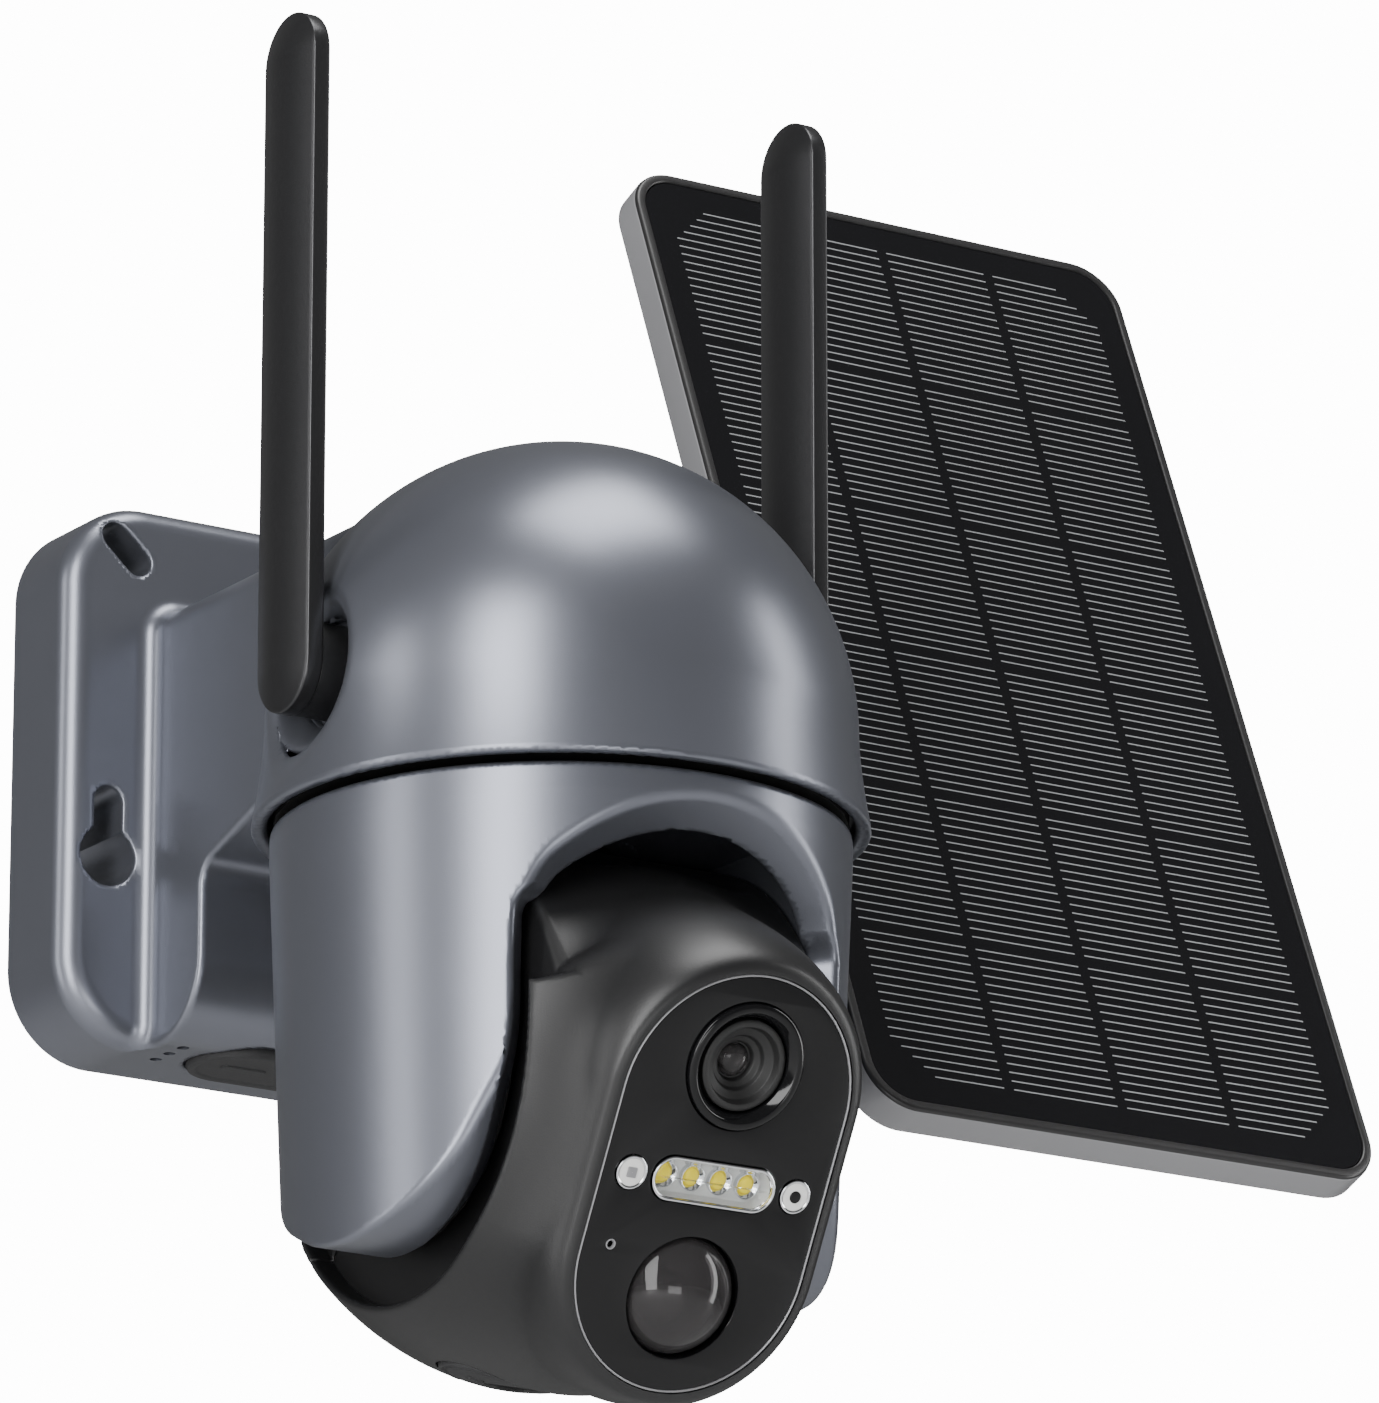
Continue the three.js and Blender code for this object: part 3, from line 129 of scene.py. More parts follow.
def moulded_grain_group():
    """Moulding grain: fine noise for the height and a slow cloud for the colour, both read at the piece's
    own place. Colour = Color x (1 + Cloud x (cloud - 0.5)); Roughness = Roughness + Wear x (fine + cloud
    - 1)."""
    tree = bpy.data.node_groups.new("moulded_grain", "ShaderNodeTree")
    group_sockets(tree, [
        ("Color", "NodeSocketColor", (0.5, 0.5, 0.5, 1)), ("Roughness", "NodeSocketFloat", 0.4),
        ("Grain size", "NodeSocketFloat", 4000.0), ("Cloud", "NodeSocketFloat", 0.06),
        ("Wear", "NodeSocketFloat", 0.03)], "INPUT")
    group_sockets(tree, [("Color", "NodeSocketColor", None), ("Roughness", "NodeSocketFloat", None),
                         ("Height", "NodeSocketFloat", None)], "OUTPUT")
    nodes, links = tree.nodes, tree.links
    inp, out = nodes.new("NodeGroupInput"), nodes.new("NodeGroupOutput")
    coords = nodes.new("ShaderNodeTexCoord")
    fine, cloud = nodes.new("ShaderNodeTexNoise"), nodes.new("ShaderNodeTexNoise")
    fine.inputs["Detail"].default_value = 2.0
    cloud.inputs["Scale"].default_value = 38.0
    cloud.inputs["Detail"].default_value = 3.0
    links.new(coords.outputs["Object"], fine.inputs["Vector"])
    links.new(coords.outputs["Object"], cloud.inputs["Vector"])
    links.new(inp.outputs["Grain size"], fine.inputs["Scale"])
    shift = nodes.new("ShaderNodeMath")
    shift.operation = "SUBTRACT"
    shift.inputs[1].default_value = 0.5
    links.new(cloud.outputs["Fac"], shift.inputs[0])
    tint = nodes.new("ShaderNodeMath")
    tint.operation = "MULTIPLY_ADD"
    tint.inputs[2].default_value = 1.0
    links.new(shift.outputs[0], tint.inputs[0])
    links.new(inp.outputs["Cloud"], tint.inputs[1])
    colour = nodes.new("ShaderNodeVectorMath")
    colour.operation = "SCALE"
    links.new(inp.outputs["Color"], colour.inputs[0])
    links.new(tint.outputs[0], colour.inputs["Scale"])
    links.new(colour.outputs[0], out.inputs["Color"])
    both = nodes.new("ShaderNodeMath")
    both.operation = "ADD"
    links.new(fine.outputs["Fac"], both.inputs[0])
    links.new(cloud.outputs["Fac"], both.inputs[1])
    centred = nodes.new("ShaderNodeMath")
    centred.operation = "SUBTRACT"
    centred.inputs[1].default_value = 1.0
    links.new(both.outputs[0], centred.inputs[0])
    rough = nodes.new("ShaderNodeMath")
    rough.operation = "MULTIPLY_ADD"
    rough.use_clamp = True
    links.new(centred.outputs[0], rough.inputs[0])
    links.new(inp.outputs["Wear"], rough.inputs[1])
    links.new(inp.outputs["Roughness"], rough.inputs[2])
    links.new(rough.outputs[0], out.inputs["Roughness"])
    links.new(fine.outputs["Fac"], out.inputs["Height"])
    return tree


GRAIN = moulded_grain_group()


def finish_of(name, color, roughness, metallic=0.0, grain=4000.0, depth=0.02, cloud=0.08, wear=0.05,
              **sockets):
    """A Principled finish fed by the moulding grain; sockets set the shader's own constants by name."""
    mat = bpy.data.materials.new(name)
    mat.use_nodes = True
    nodes, links = mat.node_tree.nodes, mat.node_tree.links
    shader = nodes["Principled BSDF"]
    grained = nodes.new("ShaderNodeGroup")
    grained.node_tree = GRAIN
    grained.inputs["Color"].default_value = (*color, 1)
    grained.inputs["Roughness"].default_value = roughness
    grained.inputs["Grain size"].default_value = grain
    grained.inputs["Cloud"].default_value = cloud
    grained.inputs["Wear"].default_value = wear
    bump = nodes.new("ShaderNodeBump")
    bump.inputs["Strength"].default_value = depth
    bump.inputs["Distance"].default_value = 0.0003
    links.new(grained.outputs["Color"], shader.inputs["Base Color"])
    links.new(grained.outputs["Roughness"], shader.inputs["Roughness"])
    links.new(grained.outputs["Height"], bump.inputs["Height"])
    links.new(bump.outputs["Normal"], shader.inputs["Normal"])
    shader.inputs["Metallic"].default_value = metallic
    for socket, value in sockets.items():
        shader.inputs[socket.replace("_", " ")].default_value = value
    mat.diffuse_color = (*color, 1)
    return mat


SLATE = finish_of("slate_paint", (0.168, 0.176, 0.205), 0.33, 0.78, grain=5200, depth=0.05, cloud=0.05,
                  wear=0.04)
CHARCOAL = finish_of("charcoal_satin", (0.045, 0.045, 0.047), 0.3, 0.75, grain=3600, depth=0.05)
HEAD_BLACK = finish_of("black_satin", (0.007, 0.007, 0.0075), 0.4, 0.0, grain=3600, depth=0.06)
INNER_BLACK = finish_of("black_moulding", (0.006, 0.006, 0.006), 0.55, 0.0, grain=2600, depth=0.08)
GLOSS = finish_of("gloss_black", (0.005, 0.005, 0.0055), 0.1, 0.0, depth=0.0, cloud=0.02, wear=0.01,
                  Specular_IOR_Level=0.3)
RUBBER = finish_of("rubber_black", (0.018, 0.018, 0.019), 0.72, 0.0, grain=1800, depth=0.12)
STEEL = finish_of("plain_steel", (0.5, 0.51, 0.52), 0.3, 1.0, grain=2500, depth=0.05)
CHROME = finish_of("bright_rim", (0.75, 0.76, 0.78), 0.1, 1.0, depth=0.0)
BRASS = finish_of("cut_brass", (0.62, 0.42, 0.14), 0.32, 1.0, grain=2500, depth=0.05)
ACETAL = finish_of("white_acetal", (0.75, 0.75, 0.73), 0.42, 0.0, grain=2200, depth=0.05)
BOARD = finish_of("circuit_lacquer", (0.02, 0.11, 0.05), 0.3, 0.0, grain=900, depth=0.2, cloud=0.3)
CELL_WRAP = finish_of("cell_wrap", (0.04, 0.2, 0.4), 0.28, 0.0, depth=0.0)
PHOSPHOR = finish_of("lamp_phosphor", (0.9, 0.7, 0.0), 0.45, 0.0, depth=0.0, Emission_Strength=0.3,
                     Emission_Color=(0.85, 0.68, 0.0, 1))
CLEAR = finish_of("clear_window", (0.97, 0.98, 0.98), 0.02, 0.0, depth=0.0, cloud=0.0, wear=0.0,
                  Transmission_Weight=1.0, IOR=1.25)
SMOKE = finish_of("smoked_dome", (0.3, 0.285, 0.29), 0.03, 0.0, depth=0.0, cloud=0.0, wear=0.0,
                  Transmission_Weight=0.93, IOR=1.3)
SOLAR = finish_of("solar_glass", (0.004, 0.004, 0.005), 0.13, 0.0, grain=700, depth=0.015, cloud=0.3,
                  wear=0.02)
PRINT = finish_of("silver_print", (0.36, 0.37, 0.38), 0.35, 0.4, depth=0.0)
BEZEL = finish_of("bezel_charcoal", (0.013, 0.0125, 0.013), 0.36, 0.0, grain=3200, depth=0.05)
EDGE_GREY = finish_of("panel_edge_grey", (0.26, 0.26, 0.27), 0.36, 0.3, grain=3200, depth=0.05)


# ------------------------------------------------------------------ meshes
def shown(name, points, faces, finish, body, at=ROW, normals=None, replaces=(), sharp=38.0,
          merge=False):
    """Puts a surface into the scene: points in millimetres in the frame `at`, faces as rows of point
    numbers, normals, where given, one for each corner of each face."""
    world = points @ at[:3, :3].T + at[:3, 3]
    mesh = bpy.data.meshes.new(name)
    faces = np.asarray(faces, np.int32)
    size = faces.shape[1]
    mesh.vertices.add(len(world))
    mesh.vertices.foreach_set("co", world.astype(np.float32).ravel())
    mesh.loops.add(faces.size)
    mesh.loops.foreach_set("vertex_index", faces.ravel())
    mesh.polygons.add(len(faces))
    mesh.polygons.foreach_set("loop_start", np.arange(len(faces), dtype=np.int32) * size)
    mesh.polygons.foreach_set("use_smooth", np.ones(len(faces), bool))
    mesh.update()
    mesh.validate()
    if merge:
        bm = bmesh.new()
        bm.from_mesh(mesh)
        bmesh.ops.remove_doubles(bm, verts=bm.verts, dist=1e-7)
        bmesh.ops.dissolve_degenerate(bm, dist=1e-8, edges=bm.edges)
        bmesh.ops.recalc_face_normals(bm, faces=bm.faces)
        bm.to_mesh(mesh)
        bm.free()
    if normals is None:
        mesh.set_sharp_from_angle(angle=math.radians(sharp))
    else:
        turned_normals = normals @ (at[:3, :3] / MM).T
        mesh.normals_split_custom_set(turned_normals.tolist())
    mesh.materials.append(finish)
    obj = bpy.data.objects.new(name, mesh)
    bpy.context.scene.collection.objects.link(obj)
    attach(obj, body)
    if replaces:
        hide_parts(*replaces)
    return obj


def grid_quads(rows, cols, wrap):
    """Quads over a grid of rows x cols points, joined round in columns when wrap is true."""
    i, j = np.meshgrid(np.arange(rows - 1), np.arange(cols if wrap else cols - 1), indexing="ij")
    k = (j + 1) % cols
    return np.stack([i * cols + j, i * cols + k, (i + 1) * cols + k, (i + 1) * cols + j], -1).reshape(-1, 4)


def softened(profile, radius, steps=3):
    """The profile with each inner corner b replaced by (1 - t)^2 start + 2 t (1 - t) b + t^2 end, whose
    ends lie `radius` from the corner along its two sides."""
    p = np.asarray(profile, float)
    out = [p[:1]]
    for a, b, c in zip(p[:-2], p[1:-1], p[2:]):
        back, on = a - b, c - b
        lb, lo = np.linalg.norm(back), np.linalg.norm(on)
        r = min(radius, 0.45 * lb, 0.45 * lo)
        t = np.linspace(0, 1, steps + 1)[:, None]
        start, end = b + back / lb * r, b + on / lo * r
        out.append((1 - t) ** 2 * start + 2 * t * (1 - t) * b + t ** 2 * end)
    out.append(p[-1:])
    return np.vstack(out)


def round_box_ring(half_w, half_h, corner, inset, arc=12):
    """A rounded rectangle moved inwards by inset: each corner is an arc about its own fixed centre."""
    inset = np.asarray(inset, float)[:, None]
    r = np.maximum(corner - inset, 0)
    cx, cz = half_w - inset - r, half_h - inset - r
    q = np.linspace(0, math.pi / 2, arc)[None, :]
    xs, zs = [], []
    for k, (sx, sz) in enumerate(((1, 1), (-1, 1), (-1, -1), (1, -1))):
        a = q + k * math.pi / 2
        xs.append(sx * cx + r * np.cos(a))
        zs.append(sz * cz + r * np.sin(a))
    return np.hstack(xs), np.hstack(zs)


def oval_sweep(profile, half_w, half_h, corner=None, arc=12):
    """A profile of (inset, height) carried round a rounded rectangle: point(u, t) is the outline at u
    moved inwards by inset(t), at height(t). Returns points (x, height, z) as a grid, one row for each
    profile point."""
    profile = np.asarray(profile, float)
    corner = min(half_w, half_h) if corner is None else corner
    x, z = round_box_ring(half_w, half_h, corner, profile[:, 0], arc)
    y = np.broadcast_to(profile[:, 1:2], x.shape)
    return np.stack([x, y, z], -1).reshape(-1, 3), grid_quads(len(profile), x.shape[1], True)


def turned(profile, segments=64):
    """A profile of (radius, height) turned about the height axis: point(a, t) = (r cos a, h, r sin a)."""
    profile = np.asarray(profile, float)
    a = np.linspace(0, 2 * math.pi, segments, endpoint=False)[None, :]
    r, h = profile[:, :1], profile[:, 1:2]
    points = np.stack(np.broadcast_arrays(r * np.cos(a), h, r * np.sin(a)), -1)
    return points.reshape(-1, 3), grid_quads(len(profile), segments, True)


def on_face(points, x=0.0, v=0.0):
    """Stands a surface whose height axis is +Y on the face at (x, v), its height along the face's
    normal."""
    return np.stack([points[:, 0] + x, -points[:, 1], points[:, 2] + v], -1)


def several(parts):
    """Joins surfaces into one list of points and faces."""
    points, faces, count = [], [], 0
    for p, f in parts:
        points.append(p)
        faces.append(np.asarray(f) + count)
        count += len(p)
    return np.vstack(points), np.vstack(faces)


# ------------------------------------------------------------------ distance fields
def meet_round(a, b, r):
    """The part inside both a and b, its edge rounded to radius r."""
    return np.minimum(-r, np.maximum(a, b)) + np.hypot(np.maximum(a + r, 0), np.maximum(b + r, 0))


def join_round(a, b, r):
    """Both a and b, with a fillet of radius r where they meet."""
    return -meet_round(-a, -b, r)


def round_box(x, z, half_x, half_z, r):
    """Distance to a rectangle with rounded corners."""
    qx, qz = np.abs(x) - half_x + r, np.abs(z) - half_z + r
    return np.hypot(np.maximum(qx, 0), np.maximum(qz, 0)) + np.minimum(np.maximum(qx, qz), 0) - r


def stadium(x, z, half_x, half_z):
    """Distance to a rectangle with fully round ends."""
    return round_box(x, z, half_x, half_z, min(half_x, half_z))


def gradient(field, p):
    """Slope of a field at points, by differences 0.02 mm either way."""
    e = 0.02
    x, y, z = p.T
    return np.stack([field(x + e, y, z) - field(x - e, y, z), field(x, y + e, z) - field(x, y - e, z),
                     field(x, y, z + e) - field(x, y, z - e)], -1) / (2 * e)


def skin(field, low, high, step):
    """The zero surface of a distance field. Each grid cell that the surface crosses gets one point, the
    mean of the crossings on its edges; each crossed grid edge gets the quad of its four cells; then every
    point slides along the field's slope onto the surface and onto any sharp edge near it. Returns points,
    quads and corner normals."""
    axes = [np.arange(a, b + step, step) for a, b in zip(low, high)]
    x, y, z = np.meshgrid(*axes, indexing="ij", sparse=True)
    v = np.broadcast_to(field(x, y, z), [len(a) for a in axes])
    inside = v < 0
    n = np.array(v.shape) - 1
    count = np.zeros(n, np.int8)
    for c in np.ndindex(2, 2, 2):
        count += inside[c[0]:n[0] + c[0], c[1]:n[1] + c[1], c[2]:n[2] + c[2]]
    cells = np.argwhere((count > 0) & (count < 8))
    number = np.full(n, -1, np.int64)
    number[tuple(cells.T)] = np.arange(len(cells))
    total, hits = np.zeros((len(cells), 3)), np.zeros((len(cells), 1))
    for axis in range(3):
        for a, b in ((0, 0), (0, 1), (1, 0), (1, 1)):
            start = np.zeros(3, int)
            start[(axis + 1) % 3], start[(axis + 2) % 3] = a, b
            end = start.copy()
            end[axis] = 1
            va, vb = v[tuple((cells + start).T)], v[tuple((cells + end).T)]
            crossed = ((va < 0) != (vb < 0))[:, None]
            share = np.where(crossed[:, 0], va / np.where(va == vb, 1, va - vb), 0)[:, None]
            total += crossed * (start + share * (end - start))
            hits += crossed
    points = np.array([a[0] for a in axes]) + (cells + total / hits) * step
    quads = []
    for axis in range(3):
        b, c = (axis + 1) % 3, (axis + 2) % 3
        first = np.take(inside, range(n[axis]), axis)
        second = np.take(inside, range(1, n[axis] + 1), axis)
        at = np.argwhere(first != second)
        at = at[(at[:, b] > 0) & (at[:, c] > 0) & (at[:, b] < n[b]) & (at[:, c] < n[c])]
        outward = first[tuple(at.T)]
        ub, uc = np.eye(3, dtype=int)[b], np.eye(3, dtype=int)[c]
        ring = [number[tuple((at + d).T)] for d in (-ub - uc, -uc, 0 * ub, -ub)]
        quad = np.stack(ring, -1)
        quads.append(np.where(outward[:, None], quad, quad[:, ::-1]))
    for _ in range(2):
        points = nearest_edge(field, slid(field, points, 0.35 * step), 0.3 * step)
    points = slid(field, points, 0.1 * step)
    return points, np.vstack(quads), corner_normals(field, points, np.vstack(quads))


def slid(field, points, limit):
    """Points moved along the field's slope onto its zero surface, each move held to a limit."""
    for _ in range(3):
        slope = gradient(field, points)
        steepness = np.maximum((slope ** 2).sum(1, keepdims=True), 0.2)
        move = field(*points.T)[:, None] * slope / steepness
        far = np.maximum(np.linalg.norm(move, axis=1, keepdims=True) / limit, 1)
        points = points - move / far
    return points


def nearest_edge(field, points, reach):
    """Draws points onto sharp edges: the move m minimises the sum of (n.m + distance)^2 over the tangent
    planes at eight places round the point, plus a small pull |m|^2 to stay."""
    stay = 0.05
    square = np.tile(np.eye(3) * stay, (len(points), 1, 1))
    pull = np.zeros((len(points), 3))
    for corner in np.ndindex(2, 2, 2):
        at = points + (np.array(corner) * 2 - 1) * reach
        slope = gradient(field, at)
        length = np.maximum(np.linalg.norm(slope, axis=1, keepdims=True), 0.2)
        n = slope / length
        away = (field(*at.T)[:, None] / length) - ((at - points) * n).sum(1, keepdims=True)
        square += n[:, :, None] * n[:, None, :]
        pull -= away * n
    move = np.linalg.solve(square, pull[:, :, None])[:, :, 0]
    far = np.maximum(np.linalg.norm(move, axis=1, keepdims=True) / (1.6 * reach), 1)
    return points + move / far


CRISP = 25.0


def corner_normals(field, points, quads):
    """The normal at each face corner: the field's slope at the point or, where the slope a third of the
    way to the face's middle differs by more than CRISP degrees, that slope, so that edges stay crisp."""
    def unit(v):
        return v / np.maximum(np.linalg.norm(v, axis=-1, keepdims=True), 1e-6)
    shared = unit(gradient(field, points))[quads]
    middle = points[quads].mean(1, keepdims=True)
    nearby = (points[quads] * 2 + middle) / 3
    own = unit(gradient(field, nearby.reshape(-1, 3))).reshape(shared.shape)
    apart = (own * shared).sum(-1, keepdims=True) < math.cos(math.radians(CRISP))
    return np.where(apart, own, shared).reshape(-1, 3)


# ------------------------------------------------------------------ wall base
def dome_outside(x, y, z):
    """The dome about its own axis: a ball above its centre and, below it, a skirt of radius
    DOME_R + RIM_FLARE x depth^1.6, where depth runs from 0 at the centre to 1 at the rim."""
    rho = np.hypot(x, y)
    depth = np.clip((DOME_CENTRE - z) / DOME_CENTRE, 0, 1.3)
    skirt = rho - (DOME_R + RIM_FLARE * depth ** 1.6)
    ball = np.sqrt(rho ** 2 + (z - DOME_CENTRE) ** 2) - DOME_R
    return np.where(z > DOME_CENTRE, ball, skirt)


KEY_X, KEY_Z, KEY_TOP, KEY_R, KEY_SLOT_R = 37.7, -14.6, -5.4, 5.0, 2.6
SLEEVE = 1.6
SLOT_X, SLOT_Z, SLOT_R, SLOT_HALF, SLOT_SLANT = 35.0, 38.0, 2.4, 5.2, 42.0
PORT_Y, PORT_HALF_L, PORT_HALF_W, PORT_DEPTH = -16.5, 20.8, 9.3, 1.6
SPEAKER_X, SPEAKER_Y = -25.4, (-13.0, -17.4, -21.8)
SPEAKER_HOLE_R, SPEAKER_HOLE_DEEP = 1.0, 2.2
PLATE_EDGE, PLATE_FILLET, RIB, POCKET_FLOOR = 4.2, 3.2, 3.0, 3.6
BLOCK_MID_Z = -36.0                         # low enough that only the block's top corners are round
ARM_BACK = 12.0                             # how far past the pan axis the arm reaches under the dome


def wall_base_field(x, y, z):
    """Plate with a rounded front edge, filleted into the block and arm; the arm's side profile is the
    block's toe and the rising underside joined by a fillet. Keyholes, slots, rear pockets, the port
    recess and speaker holes are cut out."""
    outline = round_box(x, z, PLATE_HALF, PLATE_HALF, PLATE_CORNER)
    plate = meet_round(outline, -y - PLATE_T, PLATE_EDGE)
    toe = meet_round(-y - BLOCK_FRONT, -z - PLATE_HALF, TOE)
    under = ARM_UNDER + ARM_RISE * np.maximum(-BLOCK_FRONT - y, 0) - z
    side = join_round(toe, under * math.cos(math.atan(ARM_RISE)), 3.0)
    width = round_box(x, z - BLOCK_MID_Z, BLOCK_HALF, BLOCK_TOP - BLOCK_MID_Z, 4.5)
    body = meet_round(width, side, 1.0)
    d = np.maximum(join_round(plate, body, PLATE_FILLET), outline)
    left = np.abs(x)
    slot_mid, slot_half = (KEY_Z + KEY_TOP) / 2, (KEY_TOP - KEY_Z) / 2 + KEY_SLOT_R
    key = np.minimum(np.hypot(left - KEY_X, z - KEY_Z) - KEY_R,
                     stadium(left - KEY_X, z - slot_mid, KEY_SLOT_R, slot_half))
    a = math.radians(SLOT_SLANT)
    sx, sz = left - SLOT_X, z - SLOT_Z
    along, across = sx * math.cos(a) + sz * math.sin(a), -sx * math.sin(a) + sz * math.cos(a)
    slot = stadium(along, across, SLOT_HALF, SLOT_R)
    d = meet_round(d, -np.minimum(key, slot), 0.5)
    pocket = np.maximum(np.maximum(outline + RIB, BLOCK_HALF - left), -y - (PLATE_T - POCKET_FLOOR))
    pocket = np.maximum(pocket, SLEEVE - np.minimum(key, slot))
    room = np.maximum(np.maximum(left - BLOCK_HALF + WALL, z - BLOCK_TOP + WALL), toe + WALL)
    d = np.maximum(d, -np.minimum(pocket, room))
    port = np.maximum(stadium(x, y - PORT_Y, PORT_HALF_L, PORT_HALF_W), z + PLATE_HALF - PORT_DEPTH)
    d = meet_round(d, -port, 0.4)
    for place in SPEAKER_Y:
        hole = np.hypot(x - SPEAKER_X, y - place) - SPEAKER_HOLE_R
        d = np.maximum(d, -np.maximum(hole, z + PLATE_HALF - SPEAKER_HOLE_DEEP))
    d = np.maximum(d, 0.3 - dome_outside(x, y - PAN[1], z - PAN[2]))
    d = np.maximum(d, -(y - PAN[1] - ARM_BACK))
    return np.maximum(d, y)


points, quads, normals = skin(wall_base_field, (-47, -84, -47), (47, 1, 47), 0.75)
shown("wall_base_shell", points, quads, SLATE, "base", ROW, normals, ["wall_base"])


def port_cover_surface():
    """Oval rubber cover: a raised rim, a shallow dish inside it and a small pull tab at one end, each a
    profile of (inset, height) carried round an oval."""
    half_l, half_w = PORT_HALF_L - 0.3, PORT_HALF_W - 0.3
    rim = softened([(0.2, 1.2), (0.0, 0.2), (0.3, -0.75), (1.5, -0.8), (2.0, -0.45), (6.0, -0.45),
                    (half_w, -0.45)], 0.3)
    cover = oval_sweep(rim, half_l, half_w)
    back = oval_sweep([(half_w, 1.2), (0.2, 1.2)], half_l, half_w)
    tab, tab_faces = oval_sweep(softened([(0, -0.4), (0.2, -0.8), (0.7, -0.8), (1.2, -0.8)], 0.15), 4.2, 1.2)
    tab_x = -11.0
    points, faces = several([cover, back, (tab + [tab_x, 0, 0], tab_faces)])
    return np.stack([points[:, 0], points[:, 2] + PORT_Y, points[:, 1] - PLATE_HALF], -1), faces


points, faces = port_cover_surface()
shown("port_cover_rubber", points, faces, RUBBER, "port_cover", replaces=["port_cover"],
      merge=True)


# ------------------------------------------------------------------ dome
def dome_field(x, y, z):
    """The dome's wall, thickened inside behind each antenna, where a pocket with a soft lip and a deeper
    round seat are cut in from the side; the rim below is rounded."""
    outside = dome_outside(x, y, z)
    d = np.maximum(outside, -outside - WALL)
    for side in (-1, 1):
        off = np.hypot(y - ANT_Y, z - ANT_Z)
        boss = np.maximum(np.maximum(off - POCKET_R - WALL, BOSS_IN - side * x), outside)
        d = np.minimum(d, boss)
        widening = POCKET_SPREAD * np.maximum(side * x - POCKET_X, 0)
        flare = (off - STUB_R - 0.9 - widening) * POCKET_EASE
        d = meet_round(d, -np.maximum(flare, POCKET_X - side * x), 1.8)
        seat = np.maximum(off - STUB_R - 0.5, SEAT_X - side * x)
        d = meet_round(d, -seat, 0.8)
    return meet_round(d, -z, 0.7)


points, quads, normals = skin(dome_field, (-50, -50, -1), (50, 50, 64.5), 0.9)
shown("dome_housing", points, quads, SLATE, "base", AT_PAN, normals, ["dome_shell"])


# ------------------------------------------------------------------ carrier
def yoke_radius(z):
    """The carrier's outside: straight above TAPER_FROM, then tapering to YOKE_MID_R at the tilt axis."""
    return YOKE_TOP_R + (YOKE_TOP_R - YOKE_MID_R) * np.minimum(z - TAPER_FROM, 0) / (TAPER_FROM - TILT_Z)


def arm_profile(y, v):
    """An arm seen from the side: the hull of a large circle on the arm's middle line and a smaller one at
    its tip, set forward, and above the large circle a straight strip."""
    along_y, along_v = ARM_TIP_Y, ARM_TIP_V - ARM_TOP_V
    reach = math.hypot(along_y, along_v)
    uy, uv = along_y / reach, along_v / reach
    py, pv = y, v - ARM_TOP_V
    down, across = py * uy + pv * uv, np.abs(py * uv - pv * uy)
    lean = (ARM_HALF - ARM_TIP) / reach
    rest = math.sqrt(1 - lean ** 2)
    k = down * rest - across * lean
    hull = np.where(k < 0, np.hypot(across, down) - ARM_HALF, across * rest + down * lean - ARM_HALF)
    hull = np.where(k > rest * reach, np.hypot(across, down - reach) - ARM_TIP, hull)
    return np.where(v > ARM_TOP_V, np.abs(y) - ARM_HALF, hull)


def yoke_field(x, y, z):
    """A tapered ring whose lower edge is an arch in front and behind and a round-ended arm at each side,
    both bevelled towards the inside; the head's room and the arms' hollows are cut out, and the hollow
    neck stands on top. ARM_EASE and ARCH_EASE bring the bevelled fields' slopes back near 1."""
    rho = np.hypot(x, y)
    v = z - TILT_Z
    outer = rho - yoke_radius(z)
    inset = np.clip(ARM_IN + ARM_BEVEL - np.abs(x), 0, ARM_BEVEL)
    arm = arm_profile(y, v)
    arm = (arm + inset) * np.where(inset > 0, ARM_EASE, 1.0)
    ring = RING_UNDER - v
    allowed = join_round(arm, ring, 4.0)
    grown = np.clip((rho - CAVITY_R) / (YOKE_TOP_R - CAVITY_R), -0.3, 1.2) - 1
    half, arch = ARCH_HALF + ARCH_BEVEL * grown, ARCH_R + ARCH_BEVEL * grown
    opening = meet_round(np.abs(x) - half, np.hypot(x, v) - arch, 5.0) * ARCH_EASE
    opening = np.maximum(opening, ARCH_FROM - np.abs(y))
    d = meet_round(meet_round(outer, allowed, 1.0), -opening, 1.1)
    d = meet_round(d, z - YOKE_TOP, 0.8)
    room = np.maximum(np.maximum(rho - CAVITY_R, np.abs(x) - ARM_IN), v - CEILING)
    hollow = np.maximum(np.maximum(arm + ARM_FRAME, v - HOLLOW_TOP),
                        np.maximum(outer + ARM_SKIN, ARM_IN - 1 - np.abs(x)))
    d = meet_round(d, -np.minimum(room, hollow), 0.7)
    neck = np.maximum(rho - NECK_R, np.abs(z - (NECK_TOP + NECK_FOOT) / 2) - (NECK_TOP - NECK_FOOT) / 2)
    return np.maximum(np.minimum(d, neck), NECK_BORE_R - rho)


points, quads, normals = skin(yoke_field, (-47, -47, -78.5), (47, 47, 13), YOKE_STEP)
shown("carrier_fork", points, quads, SLATE, "yoke", AT_PAN, normals, ["yoke_shell"])


# ------------------------------------------------------------------ head
def away_from(angle, y, z, sense):
    """Distance past a plane through the tilt axis at `angle` above the face's normal, on the side of
    sense."""
    a = math.radians(angle)
    return sense * (math.sin(a) * y + math.cos(a) * z)


